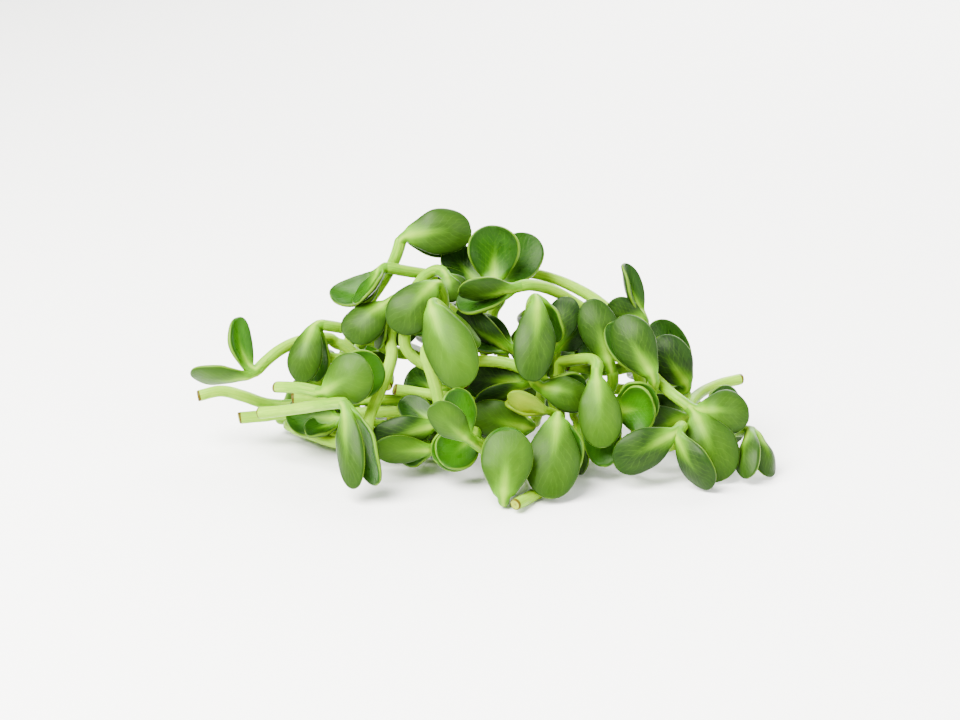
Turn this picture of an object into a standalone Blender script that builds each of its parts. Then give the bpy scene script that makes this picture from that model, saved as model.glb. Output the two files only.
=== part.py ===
"""A loose heap of cut sunflower sprouts lying on a table.

Each sprout is one grown piece: a long round stem with two thick seed leaves at its head. The sprouts on
the near side are drawn by hand on a drawing grid. Its squares are seen from a point a little above the
table, and each point has a depth along the line of sight. The drawn sprouts are then settled: they slide
along the lines of sight until none passes through another. The stems drawn only in part grow on through
free room behind them, and more sprouts fill the far side.
"""

from math import atan2, cos, degrees, radians, sin

import bmesh
import bpy
import numpy as np

# The drawing grid. Everything is in metres but the grid's own steps.
STEP = 0.0003
GRID_SIZE = (960, 720)
GRID_CENTRE = (480.0, 360.0)
FOOT_ROW = 458.0
EYE_DISTANCE = 0.75
EYE_TILT = radians(18)
RIGHT = np.array([1.0, 0.0, 0.0])
UP = np.array([0.0, sin(EYE_TILT), cos(EYE_TILT)])
AWAY = np.array([0.0, cos(EYE_TILT), -sin(EYE_TILT)])
EYE = (FOOT_ROW - GRID_CENTRE[1]) * STEP * UP - EYE_DISTANCE * AWAY

# A sprout. The neck is a share of the leaf's width, and the widest place a share of its length.
STEM_RADIUS = 0.00175
BLADE_THICKNESS = 0.0012
NECK_WIDTH = 0.28
WIDEST_AT = 0.57
TIP_BLUNTNESS = 2.3
LEAF_LENGTHS = (0.019, 0.0235)

# Room kept round each sprout while the heap settles, and how far from its head a sprout is one body.
STEM_ROOM = 0.00185
BLADE_ROOM = 0.00085
GAP = 0.0003
JOINED = 0.011
SAMPLE = 0.0021
ROUNDS = 400

# The air of the heap, as small cubes, and the cells of the drawing grid that hide what lies behind.
VOXEL = 0.001
LOW = np.array([-0.105, -0.070, -0.004])
HIGH = np.array([0.105, 0.070, 0.090])
FARTHEST = 0.02
CELL = 5

# How stems grow on, stride by stride, and how the far side is filled. Choices are made on rounded
# numbers, so that every machine grows the same heap.
SEED = 5
DIGITS = 7
GRID_DIGITS = 5
MOST_SPROUTS = 57
STRIDE = 0.0022
GROW_TRIES = 20
WAYS = 16
STEM_CLEARANCE = 0.00012
INSIDE_FAR_FACE = 0.012
FAR_HALF_LENGTH = 0.105
FAR_DEPTH = 0.050
FAR_LEAN = 0.55
FAR_STEM = 0.034
FAR_TRIES = 400
FAR_NECK = 2
OWN_REACH = 0.008
SHORTEST_STEM = 7
NEAR_TABLE = 0.016

# How near the table a sprout has to be to sag onto it, and how much of its height bends.
SAG = 0.0022
SAG_HEIGHT = 0.014

# The solid sprouts. A blade has a row of points at each of these shares of its length.
RING_SPACING = 0.0062
RINGS = (4, 13)
STEM_TOP = 0.0012
ALONG = (0.0, 0.2, 0.45, 0.7, 0.9, 0.988)
WELD = 0.00002
FOOT = 0.0006
HEAP_MIDDLE = (0.00025, 0.00351)
SHARP_FROM = radians(40)

# Colours.
LEAF_GREEN = (0.13, 0.30, 0.05)
YOUNG_GREEN = (0.48, 0.55, 0.05)
YOUNG = "young_yellow"
ROUGHNESS = 0.45


def make_leaf(across, down, deep, width, turn=0.0, bend=0.1, cup=0.25, sway=0.0):
    """A seed leaf from the head to a tip. Turn 0 shows the near side its inner face, and 180 its outer."""
    shape = {"tip": (across, down, deep), "width": width * STEP, "turn": radians(turn)}
    return {**shape, "bend": bend, "cup": cup, "sway": sway, "slide": np.zeros(3)}


def make_sprout(name, head, leaves, stem, more=0, thick=1.0):
    """A sprout from its head down the drawn points of its stem, which grows on by more millimetres."""
    return {
        "name": name,
        "head": tuple(head),
        "leaves": leaves,
        "stem": stem,
        "more": more / 1000,
        "thick": thick,
    }


# The drawn sprouts: name, head, leaves, points of the stem, millimetres it grows on, and thickness.
DRAWN = [
    (
        "far_left",
        (254, 374, -10),
        [
            make_leaf(190, 373, -16, 34, 118, 0.06, 0.2),
            make_leaf(238, 317, -8, 30, 40, 0.0, 0.3, sway=0.15),
        ],
        [(264, 363, -8), (280, 350, 0), (300, 341, 14), (325, 338, 26)],
        34,
    ),
    (
        "hook_left",
        (316, 324, 0),
        [
            make_leaf(301, 383, -18, 34, 200, 0.16, 0.3),
            make_leaf(315, 382, 8, 30, 30, 0.08, 0.2),
        ],
        [(330, 326, 4), (348, 329, 14)],
        38,
    ),
    (
        "palm_left",
        (323, 393, -58),
        [
            make_leaf(371, 368, -76, 50, 170, 0.1, 0.2),
            make_leaf(383, 364, -52, 50, 15, 0.08, 0.15),
        ],
        [(300, 388, -42), (276, 387, -26)],
    ),
    (
        "crest",
        (402, 236, 8),
        [
            make_leaf(471, 229, 8, 46, 175, 0.1, 0.25),
            make_leaf(468, 240, 34, 40, 10, 0.05, 0.2),
        ],
        [(396, 256, 10), (386, 276, 18), (372, 297, 26), (358, 318, 34), (348, 345, 42)],
        20,
    ),
    (
        "crown_left",
        (382, 266, -5),
        [
            make_leaf(330, 296, -2, 38, 40, 0.16, 0.3, sway=0.14),
            make_leaf(357, 304, -36, 30, 65, 0.05, 0.3),
        ],
        [(400, 270, -2), (437, 276, 8), (455, 280, 22)],
        30,
    ),
    (
        "shoulder_left",
        (387, 304, -22),
        [
            make_leaf(348, 340, -34, 42, 205, 0.12, 0.25),
            make_leaf(378, 349, -18, 32, 250, 0.08, 0.2),
        ],
        [(400, 298, -14), (412, 293, 0)],
        34,
    ),
    (
        "middle_left",
        (436, 282, -34),
        [
            make_leaf(394, 331, -50, 46, 190, 0.14, 0.25),
            make_leaf(406, 320, -28, 32, 20, 0.05, 0.2),
        ],
        [(442, 292, -20), (444, 304, -6)],
        30,
    ),
    (
        "middle_bright",
        (430, 301, -62),
        [
            make_leaf(466, 387, -90, 50, 195, 0.08, 0.35),
            make_leaf(480, 346, -44, 32, 125, 0.02, 0.3),
        ],
        [(440, 308, -50), (450, 320, -34)],
        30,
    ),
    (
        "pale_hook",
        (538, 388, -52),
        [
            make_leaf(589, 400, -48, 36, 160, 0.1, 0.3),
            make_leaf(586, 388, -28, 34, 30, 0.05, 0.2),
        ],
        [
            (528, 372, -44), (505, 363, -38), (470, 361, -34), (432, 366, -34), (414, 358, -38),
            (405, 345, -42), (405, 331, -46),
        ],
    ),
    (
        "middle_right",
        (537, 297, -46),
        [
            make_leaf(531, 382, -74, 40, 172, 0.08, 0.3),
            make_leaf(556, 343, -30, 32, 35, 0.1, 0.3),
        ],
        [(532, 304, -30), (530, 322, -12)],
        30,
    ),
    (
        "dark_right",
        (556, 348, -6),
        [
            make_leaf(568, 297, 2, 34, 170, 0.08, 0.2),
            make_leaf(583, 330, 8, 30, 30, 0.05, 0.2),
        ],
        [(545, 354, -2)],
        30,
    ),
    (
        "upper_right",
        (516, 287, -34),
        [
            make_leaf(458, 291, -48, 34, 130, 0.05, 0.3),
            make_leaf(456, 304, -22, 36, 40, 0.08, 0.3),
        ],
        [(531, 285, -26), (552, 290, -8), (577, 304, 12), (602, 322, 22), (632, 346, 30)],
        14,
    ),
    (
        "shade_middle",
        (513, 350, -12),
        [
            make_leaf(458, 309, -14, 32, 130, 0.05, 0.3),
            make_leaf(466, 322, 8, 42, 20, 0.05, 0.2),
        ],
        [(530, 354, -2)],
        34,
    ),
    (
        "top_right",
        (494, 286, 4),
        [
            make_leaf(493, 225, 2, 52, -6, 0.1, 0.3),
            make_leaf(535, 236, 34, 48, -12, 0.08, 0.15),
        ],
        [(500, 296, 14)],
        38,
    ),
    (
        "top_middle",
        (484, 289, 10),
        [
            make_leaf(438, 274, -4, 36, 50, 0.18, 0.4),
            make_leaf(446, 248, 18, 38, 10, 0.08, 0.2),
        ],
        [(496, 284, 20), (512, 276, 30), (530, 273, 36), (560, 281, 38), (590, 296, 34), (612, 312, 26)],
        8,
    ),
    (
        "small_top",
        (446, 275, -12),
        [
            make_leaf(453, 302, -20, 26, 175, 0.08, 0.2),
            make_leaf(464, 292, -4, 20, 160, 0.05, 0.2),
        ],
        [(438, 270, -2), (428, 274, 12), (418, 284, 24), (410, 298, 32)],
    ),
    (
        "upright_right",
        (611, 368, -20),
        [
            make_leaf(590, 299, -20, 38, 178, 0.06, 0.3),
            make_leaf(575, 330, 26, 34, 20, 0.08, 0.2),
        ],
        [(613, 380, -16), (608, 392, -4), (600, 404, 8), (592, 418, 14)],
    ),
    (
        "leaning_right",
        (655, 378, -54),
        [
            make_leaf(619, 317, -50, 42, 172, 0.1, 0.3),
            make_leaf(609, 323, -30, 38, 20, 0.08, 0.25),
        ],
        [(652, 388, -42)],
        30,
    ),
    (
        "foot_right",
        (694, 411, -62),
        [
            make_leaf(724, 478, -72, 52, 178, 0.08, 0.2),
            make_leaf(749, 414, -52, 44, 165, 0.08, 0.2),
        ],
        [(684, 403, -58), (671, 393, -50), (657, 380, -34), (645, 368, -20)],
        28,
    ),
    (
        "behind_right",
        (708, 420, -14),
        [
            make_leaf(735, 389, -6, 32, 15, 0.05, 0.15),
            make_leaf(745, 432, 0, 34, 170, 0.05, 0.2),
        ],
        [(700, 426, 0)],
        30,
    ),
    (
        "far_right",
        (753, 431, -34),
        [
            make_leaf(749, 478, -70, 30, 225, 0.12, 0.3),
            make_leaf(769, 477, -50, 30, 125, 0.1, 0.3),
        ],
        [(742, 431, -18), (730, 432, -2)],
        30,
    ),
    (
        "low_right",
        (677, 431, -80),
        [
            make_leaf(614, 464, -86, 40, 172, 0.08, 0.2),
            make_leaf(712, 486, -90, 34, 215, 0.1, 0.25),
        ],
        [(682, 426, -66)],
        30,
    ),
    (
        "cup_right",
        (613, 411, -46),
        [
            make_leaf(657, 396, -52, 44, 10, 0.1, 0.35),
            make_leaf(655, 408, -68, 46, 0, 0.12, 0.35),
        ],
        [(603, 411, -30)],
        30,
    ),
    (
        "under_right",
        (688, 417, -30),
        [
            make_leaf(631, 434, -46, 42, 170, 0.06, 0.2),
            make_leaf(640, 412, -10, 40, 170, 0.05, 0.2),
        ],
        [(690, 404, -12), (702, 392, 12), (720, 384, 30), (741, 379, 40)],
    ),
    (
        "front_right",
        (596, 374, -66),
        [
            make_leaf(603, 448, -86, 42, 178, 0.08, 0.25),
            make_leaf(604, 467, -71, 40, 10, 0.1, 0.3),
        ],
        [(597, 364, -52), (588, 359, -28), (560, 362, -8)],
        26,
    ),
    (
        "sliver_right",
        (580, 430, -44),
        [
            make_leaf(583, 473, -64, 24, 230, 0.08, 0.2),
            make_leaf(570, 472, -54, 30, 20, 0.05, 0.2),
        ],
        [(578, 420, -30)],
        28,
    ),
    (
        "young_yellow",
        (549, 411, -84),
        [
            make_leaf(508, 394, -94, 22, 150, 0.1, 0.2),
            make_leaf(505, 402, -84, 22, 60, 0.1, 0.3),
        ],
        [(556, 414, -70)],
        20,
        0.7,
    ),
    (
        "front_face",
        (503, 499, -128),
        [
            make_leaf(510, 430, -117, 50, 180, 0.05, 0.15),
            make_leaf(508, 427, -95, 48, 0, 0.05, 0.15),
        ],
        [(506, 488, -108), (512, 474, -84)],
        24,
    ),
    (
        "front_drop",
        (557, 414, -84),
        [
            make_leaf(549, 499, -117, 52, 176, 0.08, 0.2),
            make_leaf(565, 478, -86, 44, 10, 0.05, 0.2),
        ],
        [
            (560, 424, -66), (562, 446, -62), (558, 466, -73), (547, 486, -96), (530, 497, -119),
            (515, 505, -143),
        ],
    ),
    (
        "middle_flat",
        (533, 428, -60),
        [
            make_leaf(469, 413, -62, 38, 170, 0.05, 0.2),
            make_leaf(478, 424, -36, 38, 20, 0.05, 0.2),
        ],
        [(524, 421, -46), (505, 411, -30), (460, 400, -24), (420, 393, -30), (394, 389, -34)],
    ),
    (
        "middle_dark",
        (527, 383, -34),
        [
            make_leaf(474, 402, -44, 26, 130, 0.05, 0.3),
            make_leaf(468, 376, -10, 44, 170, 0.05, 0.2),
        ],
        [(540, 380, -22)],
        34,
    ),
    (
        "front_pair",
        (469, 439, -100),
        [
            make_leaf(432, 404, -122, 32, 165, 0.12, 0.25),
            make_leaf(453, 389, -100, 36, 25, 0.12, 0.35),
        ],
        [(476, 443, -92), (485, 450, -82), (494, 458, -72)],
        22,
    ),
    (
        "front_cup",
        (479, 431, -74),
        [
            make_leaf(441, 463, -92, 42, 12, 0.1, 0.3),
            make_leaf(436, 462, -77, 44, 0, 0.1, 0.3),
        ],
        [
            (472, 432, -68), (460, 427, -52), (445, 417, -34), (420, 412, -22), (385, 412, -14),
            (350, 413, -8),
        ],
    ),
    (
        "dark_left",
        (438, 424, -60),
        [
            make_leaf(371, 440, -64, 34, 170, 0.08, 0.2),
            make_leaf(400, 400, -44, 30, 20, 0.05, 0.2),
        ],
        [(446, 422, -48)],
        30,
    ),
    (
        "low_left",
        (434, 449, -72),
        [
            make_leaf(373, 449, -88, 28, 165, 0.06, 0.2),
            make_leaf(400, 455, -46, 28, 20, 0.05, 0.2),
        ],
        [(438, 446, -56), (420, 446, -42), (345, 444, -20), (303, 432, 10)],
        10,
    ),
    (
        "front_left",
        (347, 404, -88),
        [
            make_leaf(355, 489, -112, 32, 215, 0.05, 0.2),
            make_leaf(377, 485, -108, 34, 45, 0.06, 0.3),
        ],
        [(338, 403, -78), (322, 405, -60), (302, 408, -40), (281, 411, -22), (259, 413, -8)],
    ),
    (
        "dark_far_left",
        (340, 420, -10),
        [
            make_leaf(286, 412, -4, 44, 20, 0.05, 0.2),
            make_leaf(305, 432, -20, 30, 50, 0.08, 0.3),
        ],
        [(350, 420, -6)],
        34,
    ),
    (
        "edge_right",
        (689, 386, -6),
        [
            make_leaf(656, 338, -14, 44, 172, 0.12, 0.2),
            make_leaf(656, 320, 8, 44, 20, 0.1, 0.2),
        ],
        [(680, 391, 2), (660, 393, 6), (635, 391, 10), (610, 388, 14)],
        16,
    ),
    (
        "spire_right",
        (645, 320, 14),
        [
            make_leaf(624, 263, 10, 30, 60, 0.06, 0.5),
            make_leaf(606, 308, 8, 34, 165, 0.08, 0.2),
        ],
        [(642, 330, 24)],
        34,
    ),
    (
        "shade_left",
        (444, 390, -22),
        [
            make_leaf(405, 378, -16, 38, 20, 0.05, 0.2),
            make_leaf(410, 402, -20, 26, 60, 0.05, 0.2),
        ],
        [(452, 391, -12)],
        30,
    ),
    (
        "crossing_left",
        (410, 305, 30),
        [
            make_leaf(430, 330, 20, 36, 20, 0.05, 0.2),
            make_leaf(395, 345, 36, 34, 170, 0.05, 0.2),
        ],
        [
            (400, 312, 18), (390, 335, 6), (392, 355, -14), (386, 376, -34), (377, 398, -52),
            (369, 420, -64), (366, 442, -72),
        ],
    ),
    (
        "cut_far",
        (300, 404, 30),
        [
            make_leaf(345, 404, 40, 34, 20, 0.05, 0.2),
            make_leaf(335, 425, 24, 34, 170, 0.05, 0.2),
        ],
        [(285, 405, 30), (264, 403, 30), (243, 396, 28), (221, 391, 26), (198, 396, 22)],
    ),
    (
        "cut_low",
        (440, 404, 10),
        [
            make_leaf(480, 384, 14, 36, 20, 0.05, 0.2),
            make_leaf(482, 402, 34, 34, 170, 0.05, 0.2),
        ],
        [(425, 402, 4), (390, 400, 0), (345, 400, -2), (292, 399, -6)],
    ),
    (
        "cut_long",
        (420, 428, 4),
        [
            make_leaf(466, 428, 14, 38, 20, 0.05, 0.2),
            make_leaf(455, 446, -10, 38, 170, 0.05, 0.2),
        ],
        [(405, 427, 4), (370, 424, 2), (300, 413, 0), (262, 416, 0), (239, 418, -2)],
    ),
]

# Where the far side's sprouts have their heads: a place along the heap and a height.
FAR_SPOTS = [
    (-0.012, 0.054), (0.014, 0.052), (-0.034, 0.042), (-0.008, 0.040), (0.020, 0.038), (0.044, 0.034),
    (-0.050, 0.026), (-0.026, 0.026), (0.000, 0.024), (0.026, 0.024), (0.054, 0.020), (-0.060, 0.010),
    (-0.038, 0.010), (-0.014, 0.009), (0.012, 0.009), (0.036, 0.009), (0.060, 0.009), (0.000, 0.060),
    (0.032, 0.044), (-0.022, 0.034), (0.006, 0.032), (0.034, 0.028), (-0.042, 0.018), (-0.012, 0.018),
    (0.014, 0.018), (0.042, 0.014), (-0.068, 0.012), (0.070, 0.008),
]


def unit(vector):
    return vector / np.linalg.norm(vector)


def place(grid):
    """Points of the drawing grid (across, down, deep) as points of the world."""
    grid = np.asarray(grid, float)
    widen = 1 + grid[..., 2] * STEP / EYE_DISTANCE
    across = (grid[..., 0] - GRID_CENTRE[0]) * STEP * widen
    rise = (GRID_CENTRE[1] - grid[..., 1]) * STEP * widen + (FOOT_ROW - GRID_CENTRE[1]) * STEP
    deep = grid[..., 2] * STEP
    return across[..., None] * RIGHT + rise[..., None] * UP + deep[..., None] * AWAY


def unplace(points):
    """Points of the world as points of the drawing grid."""
    deep = points @ AWAY
    widen = 1 + deep / EYE_DISTANCE
    across = points @ RIGHT / (STEP * widen) + GRID_CENTRE[0]
    down = GRID_CENTRE[1] - (points @ UP - (FOOT_ROW - GRID_CENTRE[1]) * STEP) / (STEP * widen)
    return np.stack([across, down, deep / STEP], -1)


def table_depth(grid, above):
    """How deep each point of the grid may lie and still be this far above the table."""
    rise = (GRID_CENTRE[1] - grid[..., 1]) * STEP
    height = (rise + (FOOT_ROW - GRID_CENTRE[1]) * STEP) * UP[2]
    slope = -AWAY[2] * STEP - rise * STEP / EYE_DISTANCE * UP[2]
    return (height - above) / slope


def smooth_line(points, count):
    """A smooth curve through the points, as samples evenly spaced along it."""
    points = np.asarray(points, float)
    if len(points) == 2:
        points = np.array([points[0], (points[0] + points[1]) / 2, points[1]])
    ends = np.vstack([2 * points[0] - points[1], points, 2 * points[-1] - points[-2]])
    t = np.linspace(0, 1, 12, endpoint=False)[:, None]
    fine = [
        0.5 * (2 * b + (c - a) * t + (2 * a - 5 * b + 4 * c - d) * t**2 + (3 * b - 3 * c + d - a) * t**3)
        for a, b, c, d in zip(ends, ends[1:], ends[2:], ends[3:])
    ]
    fine = np.vstack(fine + [points[-1:]])
    run = np.append(0, np.cumsum(np.linalg.norm(np.diff(fine, axis=0), axis=1)))
    at = np.linspace(0, run[-1], count)
    return np.stack([np.interp(at, run, fine[:, k]) for k in range(3)], -1)


def length_of(line):
    return np.linalg.norm(np.diff(line, axis=0), axis=1).sum()


def half_width(s):
    """A blade's outline: a neck about as wide as the stem, then an oval widest past its middle."""
    spoon = NECK_WIDTH + (1 - NECK_WIDTH) * np.sin(np.pi / 2 * np.clip(s / WIDEST_AT, 0, 1)) ** 1.35
    oval = np.sqrt(np.clip(1 - (np.clip(s - WIDEST_AT, 0, 1) / (1 - WIDEST_AT)) ** TIP_BLUNTNESS, 0, 1))
    return np.where(s < WIDEST_AT, spoon, oval)


def blade_points(sprout, leaf, s, t):
    """The middle surface of a leaf. s runs from its base to its tip, and t from -1 to 1 across it."""
    base, tip = place(sprout["head"]), place(leaf["tip"])
    length = np.linalg.norm(tip - base)
    along = (tip - base) / length
    eye = EYE - (base + tip) / 2
    face = unit(eye - along * (eye @ along))
    face = cos(leaf["turn"]) * face + sin(leaf["turn"]) * np.cross(along, face)
    side = np.cross(face, along)
    half = leaf["width"] / 2
    width = half_width(s)
    arch = 4 * s * (1 - s)
    points = (
        base
        + np.multiply.outer(length * s, along)
        - np.multiply.outer(leaf["bend"] * length * arch, face)
        + np.multiply.outer(leaf["sway"] * length * arch + half * width * t, side)
        + np.multiply.outer(leaf["cup"] * half * (width * t) ** 2, face)
    )
    grid = unplace(points)
    offset = (grid[..., :2] - np.array(sprout["head"][:2])) / 60
    grid[..., 2] += leaf["slide"][0] + offset @ leaf["slide"][1:]
    return place(grid)


def blade_samples(sprout, leaf, start=0.05):
    """Points spread over a leaf, and how far each is from its base."""
    length = np.linalg.norm(place(leaf["tip"]) - place(sprout["head"]))
    rows = int(length / SAMPLE) + 2
    columns = int(leaf["width"] / SAMPLE) + 2
    s, t = np.meshgrid(np.linspace(start, 1, rows), np.linspace(-1, 1, columns), indexing="ij")
    return blade_points(sprout, leaf, s.ravel(), t.ravel()), s.ravel() * length


def elements_of(sprouts):
    """Each stem and each leaf as samples: grid points, distance from the head, room and whose it is."""
    found = []
    for number, sprout in enumerate(sprouts):
        line = smooth_line(place([sprout["head"], *sprout["stem"]]), 40)
        count = max(4, int(length_of(line) / SAMPLE) + 1)
        line = smooth_line(place([sprout["head"], *sprout["stem"]]), count)
        run = np.linspace(0, length_of(line), count)
        drawn = np.round(unplace(line), GRID_DIGITS)
        found.append((number, None, drawn, run, STEM_ROOM * sprout["thick"]))
        for leaf in sprout["leaves"]:
            points, run = blade_samples(sprout, leaf)
            found.append((number, leaf, np.round(unplace(points), GRID_DIGITS), run, BLADE_ROOM))
    return found


def contacts_of(grid, room, part, owner, run, first):
    """Pairs of samples seen so close that one has to lie in front, how far in front, and which."""
    flat = grid[:, :2] * STEP
    pairs = []
    for start in range(0, len(grid), 500):
        rows = slice(start, start + 500)
        apart = ((flat[rows, None] - flat[None]) ** 2).sum(-1)
        gap = room[rows, None] + room[None] + GAP
        a, b = np.nonzero((apart < gap**2) & (part[rows, None] < part[None]))
        pairs.append(np.stack([a + start, b]))
    a, b = np.hstack(pairs)
    same = owner[a] == owner[b]
    near = np.minimum(run[a], run[b])
    a, b, same, near = (each[~(same & (near < JOINED))] for each in (a, b, same, near))
    apart = ((flat[a] - flat[b]) ** 2).sum(-1)
    need = np.sqrt(np.maximum((room[a] + room[b] + GAP) ** 2 - apart, 0)) / STEP
    need *= np.where(same, np.clip((near - JOINED) / 0.006, 0, 1), 1)
    # A stem may pass before a leaf in one place and behind it in another, so each crossing is its own.
    stem = first[1][part]
    spot = np.where(stem[a], a - first[0][part[a]], np.where(stem[b], b - first[0][part[b]], 0))
    crossing = (part[a] * len(first[0]) + part[b]) * 1000 + spot
    known, which = np.unique(crossing, return_inverse=True)
    which = np.append(0, np.cumsum(np.diff(known) > 3))[which]
    weight = np.maximum(np.bincount(which, need), 1e-9)
    ahead = np.bincount(which, (grid[b, 2] - grid[a, 2]) * need) / weight
    return a, b, need, np.where(np.round(ahead[which], DIGITS) >= 0, 1.0, -1.0)


def settle(sprouts):
    """Slide the sprouts along the lines of sight until they lie clear of each other and of the table."""
    elements = elements_of(sprouts)
    counts = [len(element[2]) for element in elements]
    starts = np.append(0, np.cumsum(counts))[:-1]
    part = np.repeat(np.arange(len(elements)), counts)
    owner = np.repeat([element[0] for element in elements], counts)
    room = np.repeat([element[4] for element in elements], counts)
    grid = np.vstack([element[2] for element in elements])
    run = np.concatenate([element[3] for element in elements])
    is_stem = np.array([element[1] is None for element in elements])
    a, b, need, order = contacts_of(grid, room, part, owner, run, (starts, is_stem))
    lowest = table_depth(grid, np.where(is_stem[part], STEM_RADIUS, 0.0007))
    heads = np.array([sprout["head"][:2] for sprout in sprouts])
    lean = (grid[:, :2] - heads[owner]) / 60
    total, slid = len(grid), np.zeros(len(grid))
    slides = np.zeros((len(elements), 3))
    for turn in range(ROUNDS):
        deep = grid[:, 2] + slid
        short = need - order * (deep[b] - deep[a])
        hit = short > 0
        shove, touch = order[hit] * short[hit] ** 2 / 2, short[hit]
        weight = np.bincount(a[hit], touch, total) + np.bincount(b[hit], touch, total)
        push = np.bincount(b[hit], shove, total) - np.bincount(a[hit], shove, total)
        push = np.where(weight > 1e-9, push / np.maximum(weight, 1e-9), 0)
        sunk = deep - lowest
        push = np.where(sunk > 0, np.minimum(push, 0) - sunk, push)
        held = np.where((weight > 1e-9) | (sunk > 0), 1.0, 0.04)
        target = slid + push
        for index, (number, leaf, *_) in enumerate(elements):
            mine = slice(starts[index], starts[index] + counts[index])
            if leaf is None:
                line = target[mine].copy()
                for _ in range(2 if turn < ROUNDS * 0.8 else 1):
                    line[1:-1] = 0.5 * line[1:-1] + 0.25 * (line[2:] + line[:-2])
                    line[0] = (line[0] + line[1]) / 2
                    line[-1] = (line[-1] + line[-2]) / 2
                slid[mine] = line
                slides[index, 0] = line[0]
            else:
                basis = np.column_stack([np.ones(counts[index]), lean[mine]])
                pull = basis * held[mine, None]
                stiff = np.diag([1e-6, 0.072, 0.072]) * held[mine].sum()
                slides[index] = np.linalg.solve(pull.T @ basis + stiff, pull.T @ target[mine])
        for number in range(len(sprouts)):
            stem = 3 * number
            head = (slides[stem, 0] + 2 * slides[stem + 1, 0] + 2 * slides[stem + 2, 0]) / 5
            mine = slice(starts[stem], starts[stem] + counts[stem])
            slid[mine] += (head - slid[mine][0]) * np.exp(-np.arange(counts[stem]) / 3)
            for index in (stem + 1, stem + 2):
                slides[index, 0] = head
                mine = slice(starts[index], starts[index] + counts[index])
                slid[mine] = head + lean[mine] @ slides[index, 1:]
        slid, slides = np.round(slid, GRID_DIGITS), np.round(slides, GRID_DIGITS)
    for number, sprout in enumerate(sprouts):
        mine = slice(starts[3 * number], starts[3 * number] + counts[3 * number])
        line = grid[mine].copy()
        line[:, 2] += slid[mine]
        sprout["line"] = np.round(place(line), DIGITS)
        for index, leaf in enumerate(sprout["leaves"]):
            leaf["slide"] = np.round(slides[3 * number + 1 + index], DIGITS)


class Room:
    """How far each point of the air is from the nearest sprout, and from the nearest one but that."""

    def __init__(self):
        shape = tuple(np.ceil((HIGH - LOW) / VOXEL).astype(int) + 1)
        self.near = np.full(shape, FARTHEST)
        self.next = np.full(shape, FARTHEST)
        self.owner = np.full(shape, -1)

    def add(self, points, radius, owner):
        for point in points:
            middle = np.round((point - LOW) / VOXEL).astype(int)
            low = np.maximum(middle - 6, 0)
            high = np.minimum(middle + 7, self.near.shape)
            if (high <= low).any():
                continue
            box = tuple(slice(i, j) for i, j in zip(low, high))
            x, y, z = (
                (np.arange(i, j) * VOXEL + start - at) ** 2
                for i, j, start, at in zip(low, high, LOW, point)
            )
            far = np.sqrt(x[:, None, None] + y[:, None] + z) - radius
            near, after, whose = self.near[box], self.next[box], self.owner[box]
            after[...] = np.where(
                whose == owner, after, np.where(far < near, near, np.minimum(after, far))
            )
            whose[far < near] = owner
            near[...] = np.minimum(near, far)

    def free(self, points, radius, owner):
        """The free distance round a ball at each point, from what isn't the owner's and from the table."""
        at = (points - LOW) / VOXEL
        low = np.clip(np.floor(at).astype(int), 0, np.array(self.near.shape) - 2)
        part = np.clip(at - low, 0, 1)
        total = 0
        for corner in np.ndindex(2, 2, 2):
            cell = tuple(np.moveaxis(low + corner, -1, 0))
            far = np.where(self.owner[cell] == owner, self.next[cell], self.near[cell])
            total = total + far * np.where(corner, part, 1 - part).prod(-1)
        return np.minimum(total, points[..., 2]) - radius


def widened(mask, times):
    for _ in range(times):
        wide = mask.copy()
        wide[1:] |= mask[:-1]
        wide[:-1] |= mask[1:]
        wide[:, 1:] |= mask[:, :-1]
        wide[:, :-1] |= mask[:, 1:]
        mask = wide
    return mask


class Veil:
    """What the drawn sprouts hide from the near side: the cells they cover and how deep they lie there."""

    def __init__(self, points):
        grid = np.round(unplace(points), DIGITS)
        cell = tuple((grid[:, :2] / CELL).astype(int).T)
        covered = np.zeros((GRID_SIZE[0] // CELL, GRID_SIZE[1] // CELL), bool)
        covered[cell] = True
        self.covered = ~widened(~widened(covered, 2), 3)
        deep = np.full(covered.shape, 999.0)
        np.minimum.at(deep, cell, grid[:, 2])
        for _ in range(2):
            wide = deep.copy()
            wide[1:] = np.minimum(wide[1:], deep[:-1])
            wide[:-1] = np.minimum(wide[:-1], deep[1:])
            wide[:, 1:] = np.minimum(wide[:, 1:], deep[:, :-1])
            wide[:, :-1] = np.minimum(wide[:, :-1], deep[:, 1:])
            deep = wide
        self.deep = deep

    def hides(self, points):
        grid = np.round(unplace(points), DIGITS)
        cell = np.clip((grid[..., :2] / CELL).astype(int), 0, np.array(self.deep.shape) - 1)
        cell = tuple(np.moveaxis(cell, -1, 0))
        return self.covered[cell] & (grid[..., 2] > self.deep[cell] + 5)


def far_face(x, z):
    """How far back the heap goes at this place along it and at this height."""
    return FAR_DEPTH * (1 - (x / FAR_HALF_LENGTH) ** 2) - FAR_LEAN * z


def own_leaves(sprout):
    """Points of the sprout's leaves that its own stem has to keep clear of."""
    found = []
    for leaf in sprout["leaves"]:
        points, run = blade_samples(sprout, leaf)
        found.append(points[run > OWN_REACH])
    return np.vstack(found)


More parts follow.
